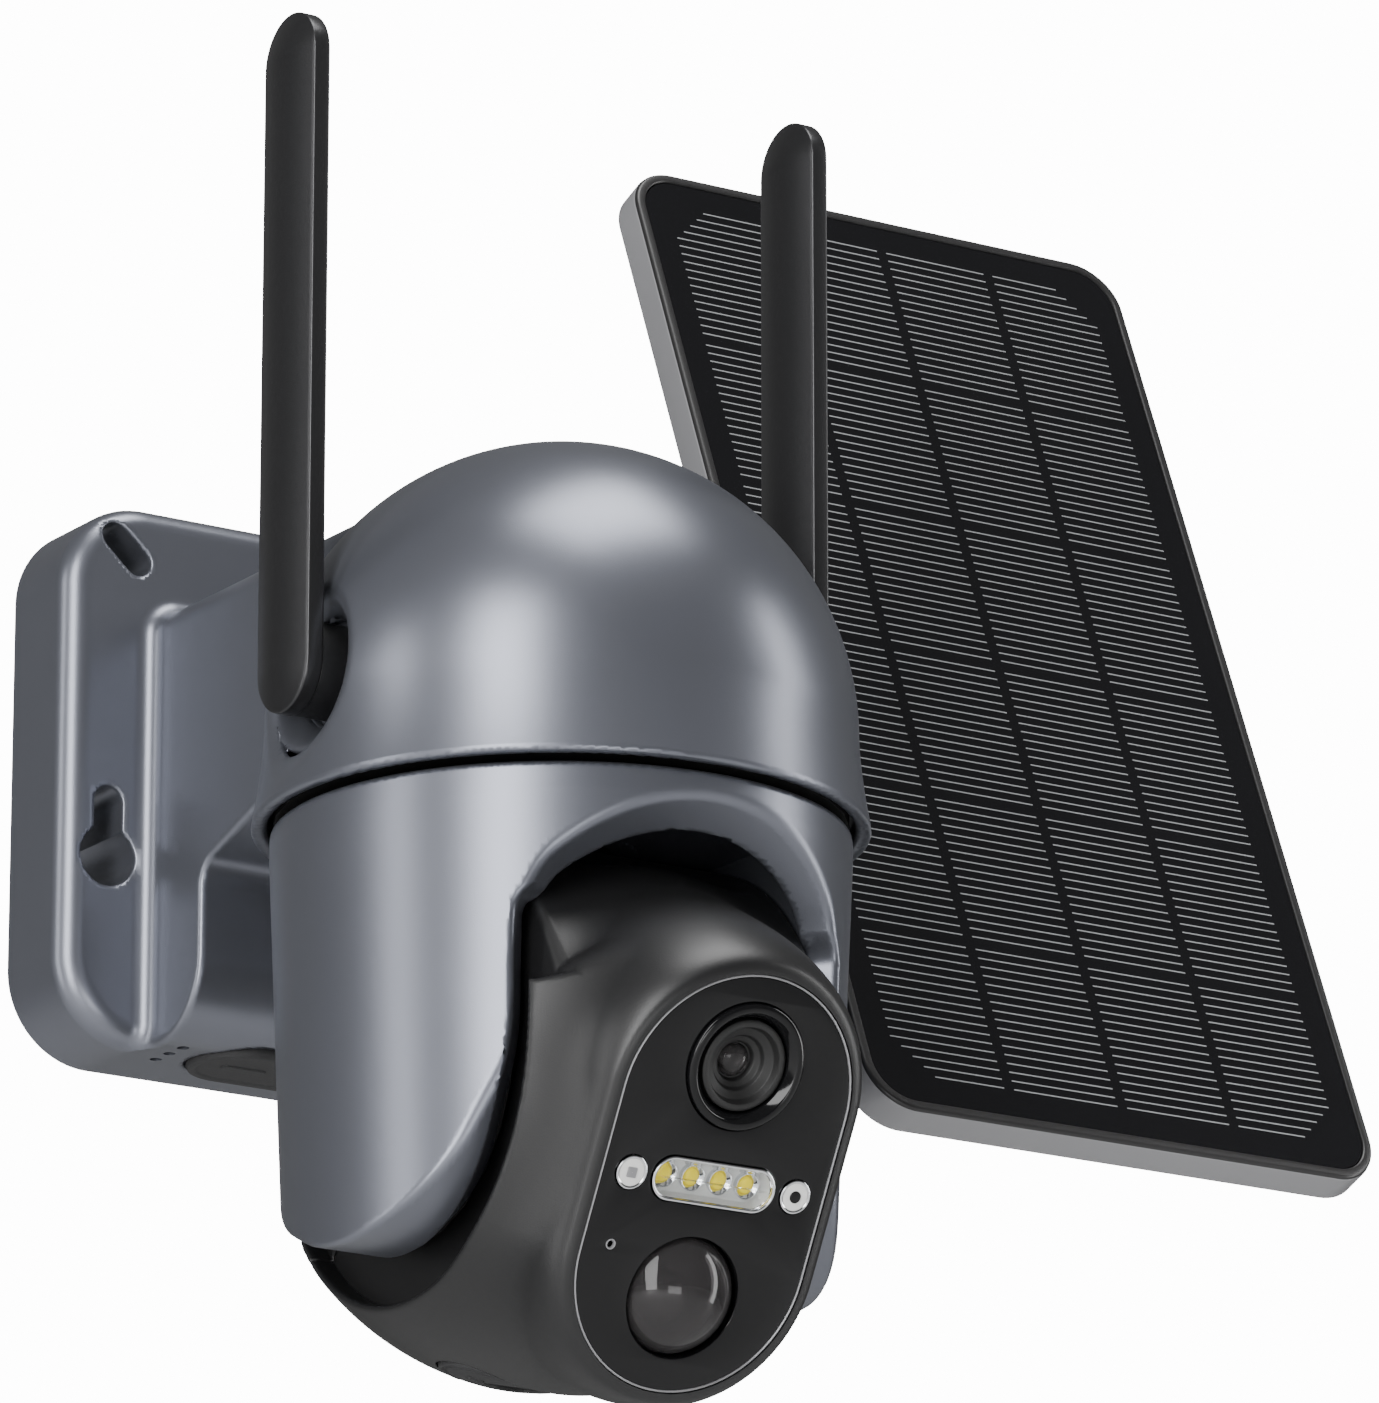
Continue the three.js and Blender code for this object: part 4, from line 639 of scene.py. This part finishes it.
def head_field(x, y, z):
    """A ball over the sector that shows, a narrower drum behind it, side recesses for the arms, and an
    oval snout whose walls swell as a quarter ellipse behind the face; the face has a pocket for its panel
    and a deeper one, inside a ledge, for what stands behind it."""
    r, n = np.hypot(y, z), -y
    ball = np.sqrt(r ** 2 + x ** 2) - BALL_R
    wedge = np.maximum(away_from(BALL_TO, y, z, 1), away_from(BALL_FROM, y, z, -1))
    body = np.minimum(meet_round(ball, wedge, 1.0), np.maximum(r - CORE_R, ball))
    t = np.clip((n - FACE_N + SNOUT_DEPTH) / SNOUT_DEPTH, 0, 1)
    grow = SNOUT_SWELL * np.sqrt(np.clip(1 - t ** 2, 0, 1))
    snout = (stadium(x, z, FACE_HALF_W + FACE_LIP, FACE_HALF_H + FACE_LIP) - grow) * SNOUT_EASE
    snout = np.maximum(meet_round(snout, n - FACE_N, 0.6), SNOUT_FROM - n)
    body = join_round(body, snout, 6.0)
    recess = np.maximum(HUB_HALF - np.abs(x), np.minimum(r - RECESS_R, -wedge))
    body = meet_round(body, -recess, 1.4)
    pocket = np.maximum(stadium(x, z, FACE_HALF_W, FACE_HALF_H), FACE_N - FACE_DEEP - n)
    deep = np.maximum(stadium(x, z, FACE_HALF_W - LEDGE, FACE_HALF_H - LEDGE), ROOM_FROM - n)
    body = np.maximum(body, -np.minimum(pocket, deep))
    a = math.radians(FLAP_ANGLE)
    along = math.sin(a) * y + math.cos(a) * z
    out = -math.cos(a) * y + math.sin(a) * z
    flap = np.maximum(stadium(x, along, FLAP_HALF_L + 0.3, FLAP_HALF_W + 0.3), FLAP_FLOOR - out)
    body = meet_round(body, -flap, 0.3)
    return np.maximum(body, AXLE_R - r)


def front_half(x, y, z):
    return meet_round(head_field(x, y, z), y - SEAM, 0.3)


def rear_half(x, y, z):
    return meet_round(head_field(x, y, z), SEAM + SEAM_GAP - y, 0.3)


points, quads, normals = skin(front_half, (-32, -51, -49), (32, 13, 49), HEAD_STEP)
shown("head_front", points, quads, HEAD_BLACK, "head", AT_HEAD, normals,
      ["head_front_shell"])
points, quads, normals = skin(rear_half, (-32, 11, -49), (32, 49, 49), 0.9)
shown("head_rear", points, quads, HEAD_BLACK, "head", AT_HEAD, normals, ["head_rear_shell"])


def flat_plate(name, outline, holes, thickness, edge):
    """A plate cut from a filled outline with holes, its edges chamfered; outlines are arrays of (x, v)."""
    curve = bpy.data.curves.new(name, "CURVE")
    curve.dimensions = "2D"
    curve.fill_mode = "BOTH"
    curve.extrude = thickness / 2 - edge
    curve.bevel_depth = edge
    curve.bevel_resolution = 2
    curve.offset = -edge
    for ring in [outline, *holes]:
        spline = curve.splines.new("POLY")
        spline.points.add(len(ring) - 1)
        flat = np.column_stack([ring, np.zeros(len(ring)), np.ones(len(ring))])
        spline.points.foreach_set("co", flat.ravel())
        spline.use_cyclic_u = True
    made = bpy.data.objects.new(name, curve)
    bpy.context.scene.collection.objects.link(made)
    bpy.context.view_layer.update()
    mesh = bpy.data.meshes.new_from_object(made)
    bpy.data.objects.remove(made)
    return mesh


def oval_outline(half_w, half_h, x=0.0, v=0.0, arc=20):
    """Points (x, v) round a rectangle with fully round ends, centred at (x, v)."""
    xs, zs = round_box_ring(half_w, half_h, min(half_w, half_h), [0.0], arc)
    return np.column_stack([xs[0] + x, zs[0] + v])


def shown_plate(name, mesh, finish, body, height, at, replaces):
    """Stands a flat plate on the face, its middle plane `height` out along the face's normal."""
    co = np.empty(len(mesh.vertices) * 3)
    mesh.vertices.foreach_get("co", co)
    co = co.reshape(-1, 3)
    local = np.stack([co[:, 0], -height - co[:, 2], co[:, 1]], -1)
    mesh.vertices.foreach_set("co", (local @ at[:3, :3].T + at[:3, 3]).ravel())
    bm = bmesh.new()
    bm.from_mesh(mesh)
    bmesh.ops.remove_doubles(bm, verts=bm.verts, dist=1e-7)
    bmesh.ops.recalc_face_normals(bm, faces=bm.faces)
    bm.to_mesh(mesh)
    bm.free()
    mesh.polygons.foreach_set("use_smooth", np.ones(len(mesh.polygons), bool))
    mesh.set_sharp_from_angle(angle=math.radians(25))
    mesh.materials.clear()
    mesh.materials.append(finish)
    obj = bpy.data.objects.new(name, mesh)
    bpy.context.scene.collection.objects.link(obj)
    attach(obj, body)
    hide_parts(*replaces)
    return obj


FIT = 0.15                                  # room round each piece that stands in a hole of the face
face_holes = [
    oval_outline(LENS_RING_R + FIT, LENS_RING_R + FIT, 0, LENS_V),
    oval_outline(PIR_R + FIT, PIR_R + FIT, 0, PIR_V),
    oval_outline(LED_HALF_W + FIT, LED_HALF_H + FIT),
    oval_outline(EYE_R + FIT, EYE_R + FIT, -EYE_X),
    oval_outline(EYE_R + FIT, EYE_R + FIT, EYE_X),
    oval_outline(MIC_R, MIC_R, *MIC, arc=6),
]
plate = flat_plate("face_plate", oval_outline(FACE_HALF_W - 0.5, FACE_HALF_H - 0.5), face_holes, 2.2, 0.22)
shown_plate("face_glass", plate, GLOSS, "head", FACE_N - 1.3, AT_HEAD, ["face_panel"])


def face_piece(name, surface, finish, slot, x=0.0, v=0.0, replaces=(), sharp=30.0):
    """A surface stood on the face at (x, v); its heights are along the face's normal from the tilt axis."""
    points, faces = surface
    return shown(name, on_face(points, x, v), faces, finish, "head", AT_HEAD, replaces=replaces,
                 merge=True, sharp=sharp)


rim = softened([(0.0, FACE_N - 2.4), (0.0, FACE_N - 0.15), (0.22, FACE_N - 0.02), (0.34, FACE_N - 0.15),
                (0.34, FACE_N - 2.4)], 0.05, 2)
rim_line = oval_sweep(rim, FACE_HALF_W - 0.15, FACE_HALF_H - 0.15, arc=20)
face_piece("face_rim_line", rim_line, EDGE_GREY, "gloss_black")

ring_back, ring_in = 44.6, LENS_R + 0.4
ring = softened([(ring_in, ring_back), (LENS_RING_R, ring_back), (LENS_RING_R, FACE_N + 0.35),
                 (LENS_RING_R - 0.55, FACE_N + 0.6), (LENS_R + 1.5, FACE_N + 0.6), (ring_in, FACE_N - 0.9),
                 (ring_in, ring_back)], 0.3)
face_piece("lens_surround", turned(ring, 96), GLOSS, "gloss_black", 0, LENS_V, ["lens_ring"])
tube_back, tube_step, tube_floor = 33, 40, 43
barrel = softened([(0, tube_back), (LENS_R - 1.2, tube_back), (LENS_R - 1.2, tube_step), (LENS_R, tube_step),
                   (LENS_R, FACE_N - 0.7), (LENS_R - 0.5, FACE_N - 0.5), (6.1, FACE_N - 0.6), (5.7, 48.2),
                   (4.4, 47.7), (4.1, 46.9), (3.2, 46.6), (2.9, 45.8), (2.6, 45.8), (2.6, tube_floor),
                   (0, tube_floor)], 0.15, 2)
face_piece("lens_tube", turned(barrel, 96), INNER_BLACK, "black_plastic", 0, LENS_V, ["lens_barrel"])
eye_r, eye_rim, eye_crown = 2.5, 46.0, 1.2
a = np.linspace(0, math.pi / 2, 10)
front = np.column_stack([eye_r * np.sin(a[::-1]), eye_rim + eye_crown * np.cos(a[::-1])])
glass = np.vstack([[(0, tube_floor + 0.4), (eye_r, tube_floor + 0.4)], front])
face_piece("lens_eye", turned(glass, 64), SMOKE, "smoked_glass", 0, LENS_V, ["lens_glass"], sharp=50)
back = np.vstack([[(0, 43.15), (2.3, 43.15)], [(2.3, 43.3), (0.9, 43.36), (0, 43.36)]])
face_piece("lens_iris", turned(back, 48), GLOSS, "gloss_black", 0, LENS_V)


def lamp_tray():
    """White tray behind the lamp window with a raised rim, open towards the front."""
    floor, top, under = 46.3, 48.6, 45.6
    tray = softened([(LED_HALF_H, floor), (0.75, floor), (0.35, top), (0.0, top), (0.0, under),
                     (LED_HALF_H, under)], 0.2)
    return oval_sweep(tray, LED_HALF_W - 0.1, LED_HALF_H - 0.1, arc=14)


face_piece("lamp_tray", lamp_tray(), ACETAL, "white_plastic")
window_back, window_front = 48.9, FACE_N + 0.1
window = softened([(LED_HALF_H, window_back), (0.5, window_back), (0.35, FACE_N - 0.1), (0.8, window_front),
                   (LED_HALF_H, window_front)], 0.12)
lamp_cover = oval_sweep(window, LED_HALF_W - 0.1, LED_HALF_H - 0.1, arc=14)
face_piece("lamp_cover", lamp_cover, CLEAR, "clear_window", replaces=["lamp_window"])
bright = softened([(0, FACE_N - 1.2), (0, FACE_N + 0.05), (0.25, FACE_N + 0.16), (0.5, FACE_N + 0.05),
                   (0.42, FACE_N - 1.2), (0, FACE_N - 1.2)], 0.08, 2)
face_piece("lamp_rim", oval_sweep(bright, LED_HALF_W, LED_HALF_H, arc=14), CHROME, "steel")
chip_r, chip_crown = 1.25, 0.55
for i in range(LED_COUNT):
    at_x = (i - (LED_COUNT - 1) / 2) * LED_PITCH
    cup = softened([(1.95, 46.2), (2.05, 47.3), (1.85, 47.3), (1.2, 46.45), (0, 46.45)], 0.1, 2)
    face_piece(f"lamp_cup_{i + 1}", turned(cup, 32), CHROME, "steel", at_x, 0)
    a = np.linspace(math.pi / 2, 0, 7)
    crown = np.column_stack([chip_r * np.sin(a), 46.6 + chip_crown * np.cos(a)])
    cap = np.vstack([[(chip_r, 46.3)], crown])
    face_piece(f"lamp_chip_{i + 1}", turned(cap, 28), PHOSPHOR, "lamp_yellow", at_x, 0, [f"lamp_led_{i + 1}"])

for name, side in (("infrared", -1), ("light_sensor", 1)):
    disc_back, disc_r = 47.2, EYE_R - 0.1
    disc = softened([(0, disc_back), (disc_r, disc_back), (disc_r, FACE_N - 0.25),
                     (EYE_R - 0.45, FACE_N - 0.05), (0, FACE_N - 0.05)], 0.1)
    face_piece(f"{name}_disc", turned(disc, 48), ACETAL, "white_plastic", side * EYE_X, 0, [f"{name}_window"])
    halo = softened([(EYE_R - 0.05, FACE_N - 1), (EYE_R + 0.05, FACE_N + 0.02), (EYE_R - 0.15, FACE_N + 0.1),
                     (EYE_R - 0.4, FACE_N - 0.02)], 0.06, 2)
    face_piece(f"{name}_rim", turned(halo, 48), CHROME, "steel", side * EYE_X, 0)
chip_half = 0.85
chip_top = softened([(0, FACE_N - 0.2), (0.05, FACE_N + 0.12), (0.8, FACE_N + 0.12)], 0.05, 2)
chip = oval_sweep(chip_top, chip_half, chip_half, corner=0.2)
face_piece("infrared_chip", chip, EDGE_GREY, "gloss_black", -EYE_X, 0)
dot = softened([(1.0, FACE_N - 0.2), (0.95, FACE_N + 0.1), (0, FACE_N + 0.14)], 0.08)
face_piece("light_sensor_dot", turned(dot, 32), GLOSS, "gloss_black", EYE_X, 0)
mic_rim = softened([(0.8, FACE_N - 0.6), (0.85, FACE_N - 0.12), (0.62, FACE_N - 0.1), (0.55, FACE_N - 0.6)],
                   0.05, 2)
face_piece("microphone_rim", turned(mic_rim, 24), EDGE_GREY, "gloss_black", *MIC)

# the motion dome is a cap of a sphere, PIR_WALL thick, with a short collar behind the face
a = np.linspace(0, math.asin(PIR_R / PIR_SPHERE), 14)
outer = np.column_stack([PIR_SPHERE * np.sin(a), FACE_N + PIR_RISE - PIR_SPHERE * (1 - np.cos(a))])
inner = outer - np.column_stack([PIR_WALL * np.sin(a), PIR_WALL * np.cos(a)])
lens = np.vstack([outer, [(PIR_R, PIR_BACK), (PIR_R - 0.8, PIR_BACK)], inner[::-1]])
face_piece("motion_dome", turned(lens, 72), SMOKE, "smoked_glass", 0, PIR_V, ["motion_sensor_dome"], sharp=50)
well = softened([(PIR_R - 0.3, 48.2), (PIR_R - 0.6, 45.0), (4.5, 43.6), (0, 43.4)], 0.6)
face_piece("motion_well", turned(well, 48), INNER_BLACK, "black_plastic", 0, PIR_V)
a = np.linspace(math.pi / 2, 0, 10)
bead_r, bead_foot, bead_rim, bead_crown, bead_aside = 4.3, 43.7, 45.6, 3.4, -1.2
bead_top = np.column_stack([bead_r * np.sin(a), bead_rim + bead_crown * np.cos(a)])
bead = np.vstack([[(bead_r, bead_foot)], bead_top])
face_piece("motion_eye", turned(bead, 48), GLOSS, "gloss_black", bead_aside, PIR_V + bead_aside,
           ["motion_sensor"])


def flap_surface():
    """Rubber flap that follows the ball: an oval's point (x, height h, t) goes out from the ball's middle
    to sqrt((BALL_R + h)^2 - x^2 - t^2), then turns to the flap's angle below the face's normal."""
    profile = softened([(FLAP_HALF_W, 0.15), (1.6, 0.15), (1.2, -0.2), (0.9, -0.2), (0.6, 0.25), (0.1, 0.2),
                        (0, -1.6), (FLAP_HALF_W, -1.7)], 0.15, 2)
    points, faces = oval_sweep(profile, FLAP_HALF_L, FLAP_HALF_W, arc=14)
    bar, bar_faces = oval_sweep(softened([(0, 0), (0.1, 0.5), (0.5, 0.5)], 0.1, 2), 1.6, 0.5)
    bar_x = -10.5
    points, faces = several([(points, faces), (bar + [bar_x, 0, 0], bar_faces)])
    x, h, t = points.T
    out = np.sqrt(np.maximum((BALL_R + h) ** 2 - x ** 2 - t ** 2, 0))
    a = math.radians(FLAP_ANGLE)
    y = -math.cos(a) * out + math.sin(a) * t
    z = math.sin(a) * out + math.cos(a) * t
    return np.stack([x, y, z], -1), faces


points, faces = flap_surface()
shown("card_flap_rubber", points, faces, RUBBER, "card_flap", AT_HEAD,
      replaces=["card_slot_flap"], merge=True)


# ------------------------------------------------------------------ antennas
def antenna_surface():
    """Paddle with round ends: its edge is flat and both wide faces crown as a quarter sine towards the
    middle, carried round the outline from one face to the other."""
    t = np.linspace(1, 0, 12)
    inset = ANT_HALF_W * t
    rise = ANT_HALF_EDGE + (ANT_HALF_T - ANT_HALF_EDGE) * np.sin(t * math.pi / 2)
    one = np.column_stack([inset, rise])
    edge = softened([one[-2], one[-1], (0, -ANT_HALF_EDGE), (one[-2][0], -one[-2][1])], 0.35)
    profile = np.vstack([one[:-2], edge, one[-3::-1] * [1, -1]])
    points, faces = oval_sweep(profile, ANT_HALF_W, (ANT_LENGTH + ANT_HALF_W) / 2, arc=18)
    return np.stack([points[:, 1], points[:, 0], points[:, 2] + (ANT_LENGTH - ANT_HALF_W) / 2], -1), faces


def stub_surface(side):
    """Hinge stub: a turned barrel with a stepped shoulder, along X."""
    near, far, shoulder = SEAT_X + 0.4, ANT_X - ANT_HALF_T + 0.4, 45.9
    barrel_r, outer_r = STUB_R - 0.2, STUB_R - 0.5
    profile = softened([(0, near), (barrel_r, near), (barrel_r, shoulder), (outer_r, shoulder + 0.2),
                        (outer_r, far), (0, far)], 0.2)
    points, faces = turned(profile, 72)
    return np.stack([side * points[:, 1], points[:, 0], points[:, 2]], -1), faces


for name, side in (("left", -1), ("right", 1)):
    hinge = joint_place(f"antenna_{name}_turn") * [0, 1, 1]
    points, faces = antenna_surface()
    shown(f"antenna_paddle_{name}", points + [side * ANT_X, 0, 0], faces, CHARCOAL, f"antenna_{name}",
          placed(hinge), replaces=[f"antenna_{name}"], merge=True, sharp=32)
    points, faces = stub_surface(side)
    shown(f"antenna_pivot_{name}", points, faces, HEAD_BLACK, f"antenna_{name}",
          placed(hinge), replaces=[f"antenna_stub_{name}"], merge=True)


# ------------------------------------------------------------------ solar panel
face, back = -PANEL_FRONT, -PANEL_FRONT + PANEL_T


def panel_piece(name, profile, finish, replaces=()):
    """A profile of (inset, height) carried round the panel's rounded outline."""
    points, faces = oval_sweep(profile, PANEL_W / 2, PANEL_H / 2, PANEL_CORNER, arc=16)
    return shown(name, points, faces, finish, "panel", AT_PANEL, replaces=replaces, merge=True,
                 sharp=30)


bezel = softened([(PANEL_LIP + 0.1, face + 1.2), (PANEL_LIP, face + 0.12), (PANEL_LIP - 0.25, face),
                  (0.5, face), (0.12, face + 0.35), (0.12, face + 0.8)], 0.2, 2)
panel_piece("panel_bezel", bezel, BEZEL)
wall_in, shelf, shelf_under = 2.9, 5, face + 2.6
wall = softened([(0.12, face + 0.7), (0, face + 0.9), (0, back - 0.8), (0.6, back), (wall_in, back),
                 (wall_in, shelf_under), (shelf, shelf_under), (shelf, face + 2.3)], 0.4, 3)
panel_piece("panel_surround", wall, EDGE_GREY, ["panel_frame"])
sheet_edge, sheet_top, sheet_under = PANEL_LIP + 0.2, face + 0.35, face + 2.1
sheet = [(PANEL_W / 2, sheet_top), (sheet_edge, sheet_top), (sheet_edge, sheet_under),
         (PANEL_W / 2, sheet_under)]
panel_piece("solar_sheet", sheet, SOLAR, ["solar_laminate"])

COLUMNS, ROWS, FINGERS = 4, 6, 17
FIELD_W, FIELD_H, COLUMN_GAP, ROW_GAP = 88.0, 181.0, 2.0, 2.6
CHAMFER, BAR_HALF, BAR_RISE = 7.0, 0.11, 0.05


def cell_fingers():
    """Printed lines: each cell is a stack of thin bars, each bar a box. The four outer cells lose a 45
    degree corner, so a bar that lies d from the field's end is shorter there by CHAMFER - d."""
    cell_w = (FIELD_W - (COLUMNS - 1) * COLUMN_GAP) / COLUMNS
    cell_h = (FIELD_H - (ROWS - 1) * ROW_GAP) / ROWS
    counts = np.meshgrid(np.arange(COLUMNS), np.arange(ROWS), np.arange(FINGERS), indexing="ij")
    col, row, line = (g.ravel() for g in counts)
    left = -FIELD_W / 2 + col * (cell_w + COLUMN_GAP)
    bottom = -FIELD_H / 2 + row * (cell_h + ROW_GAP)
    z = bottom + line / (FINGERS - 1) * cell_h
    from_end = np.minimum(z + FIELD_H / 2, FIELD_H / 2 - z)
    short = np.maximum(CHAMFER - from_end, 0) * ((row == 0) | (row == ROWS - 1))
    x0 = left + short * (col == 0)
    x1 = left + cell_w - short * (col == COLUMNS - 1)
    top, low = face + 0.33 - BAR_RISE, face + 0.36
    corners = np.stack([np.stack([x, np.full_like(z, h), z + s * BAR_HALF], -1) for h in (low, top)
                        for x, s in ((x0, -1), (x1, -1), (x1, 1), (x0, 1))], 1)
    one = np.array([(4, 5, 6, 7), (0, 1, 5, 4), (1, 2, 6, 5), (2, 3, 7, 6), (3, 0, 4, 7), (3, 2, 1, 0)])
    faces = (np.arange(len(z)) * 8)[:, None, None] + one[None]
    return corners.reshape(-1, 3), faces.reshape(-1, 4)


points, faces = cell_fingers()
shown("cell_fingers", points, faces, PRINT, "panel", AT_PANEL, sharp=30, merge=True)


# ------------------------------------------------------------------ finishes on the CAD nodes that stay
KEPT = {
    INNER_BLACK: ["base_back_cover", "battery_holder", "dome_floor", "arm_cover_left", "arm_cover_right",
                  "panel_foot", "panel_swivel", "clamp_knob", "panel_back_cover"],
    STEEL: ["cover_screw_1", "cover_screw_2", "usb_inlet", "speaker", "pan_bearing", "pan_motor",
            "tilt_motor", "tilt_axle_left", "tilt_axle_right", "swivel_pin", "tilt_bolt"],
    BRASS: ["pan_pinion", "tilt_pinion"],
    ACETAL: ["pan_gear", "tilt_gear", "tilt_bush_left", "tilt_bush_right"],
    BOARD: ["main_board", "sensor_board", "lamp_board"],
    CELL_WRAP: ["battery_cell_1", "battery_cell_2"],
    RUBBER: ["power_button", "reset_button", "cable_gland"],
}
for finish, names in KEPT.items():
    for name in names:
        data = frame["nodes"][name].data
        data.materials.clear()
        data.materials.append(finish)


# ------------------------------------------------------------------ camera, floor and light
AZIMUTH, ELEVATION, DISTANCE, ASIDE, ABOVE = 33.0, 16.5, 1500.0, 20.2, 21.2
FRAME_H, FOCAL = 1403, 9525.0               # the long side and the focal length, in one unit
SENSOR = 36.0
FLOOR_HALF, FLOOR_Z = 4.0, -0.62


def place_camera():
    """Looks up at the object from its front left, through a long lens."""
    az, el = math.radians(AZIMUTH), math.radians(ELEVATION)
    ahead = np.array([math.sin(az) * math.cos(el), math.cos(az) * math.cos(el), math.sin(el)])
    right = np.array([math.cos(az), -math.sin(az), 0])
    up = np.cross(right, ahead)
    eye = PAN + ASIDE * right + ABOVE * up - DISTANCE * ahead
    data = bpy.data.cameras.new("view")
    data.sensor_width = SENSOR
    data.lens = FOCAL / FRAME_H * SENSOR
    data.clip_start, data.clip_end = 0.05, 50
    cam = bpy.data.objects.new("view", data)
    m = Matrix.Identity(4)
    for col, axis in enumerate((right, up, -ahead)):
        for row in range(3):
            m[row][col] = axis[row]
    for row in range(3):
        m[row][3] = eye[row] * MM
    cam.matrix_world = m
    bpy.context.scene.collection.objects.link(cam)
    bpy.context.scene.camera = cam


def area_light(name, place, target, size, power):
    data = bpy.data.lights.new(name, "AREA")
    data.shape = "RECTANGLE"
    data.size, data.size_y = size
    data.energy = power
    light = bpy.data.objects.new(name, data)
    light.location = place
    light.rotation_euler = (Vector(target) - Vector(place)).to_track_quat("-Z", "Y").to_euler()
    bpy.context.scene.collection.objects.link(light)


def studio():
    """White surroundings, a pale floor below and soft boxes at both sides and above."""
    world = bpy.data.worlds.new("studio")
    bpy.context.scene.world = world
    world.use_nodes = True
    nodes, links = world.node_tree.nodes, world.node_tree.links
    background = nodes["Background"]
    path, level = nodes.new("ShaderNodeLightPath"), nodes.new("ShaderNodeMix")
    level.inputs["A"].default_value = 0.15
    level.inputs["B"].default_value = 14.0
    links.new(path.outputs["Is Camera Ray"], level.inputs["Factor"])
    links.new(level.outputs[0], background.inputs["Strength"])
    background.inputs["Color"].default_value = (1, 1, 1, 1)
    data = bpy.data.meshes.new("floor")
    corners = [(FLOOR_HALF * sx, FLOOR_HALF * sy, FLOOR_Z) for sx, sy in ((-1, -1), (1, -1), (1, 1), (-1, 1))]
    data.from_pydata(corners, [], [(0, 1, 2, 3)])
    data.materials.append(finish_of("pale_floor", (0.8, 0.8, 0.8), 0.6, grain=200, depth=0.0))
    floor = bpy.data.objects.new("floor", data)
    bpy.context.scene.collection.objects.link(floor)
    area_light("key_box", (-1.35, -1.05, 0.25), (0, -0.09, -0.03), (0.6, 1.9), 44)
    area_light("side_box", (-1.6, 0.15, 0.1), (0, -0.05, 0), (0.3, 1.4), 9)
    area_light("right_box", (1.35, -0.75, 0.2), (0, -0.09, -0.03), (0.25, 1.6), 12)
    area_light("top_box", (0.1, -0.4, 1.5), (0, -0.09, 0), (1.0, 0.7), 20)
    area_light("low_box", (-0.3, -1.3, -0.5), (0, -0.1, -0.1), (0.5, 0.3), 3)


place_camera()
studio()

bpy.context.view_layer.update()
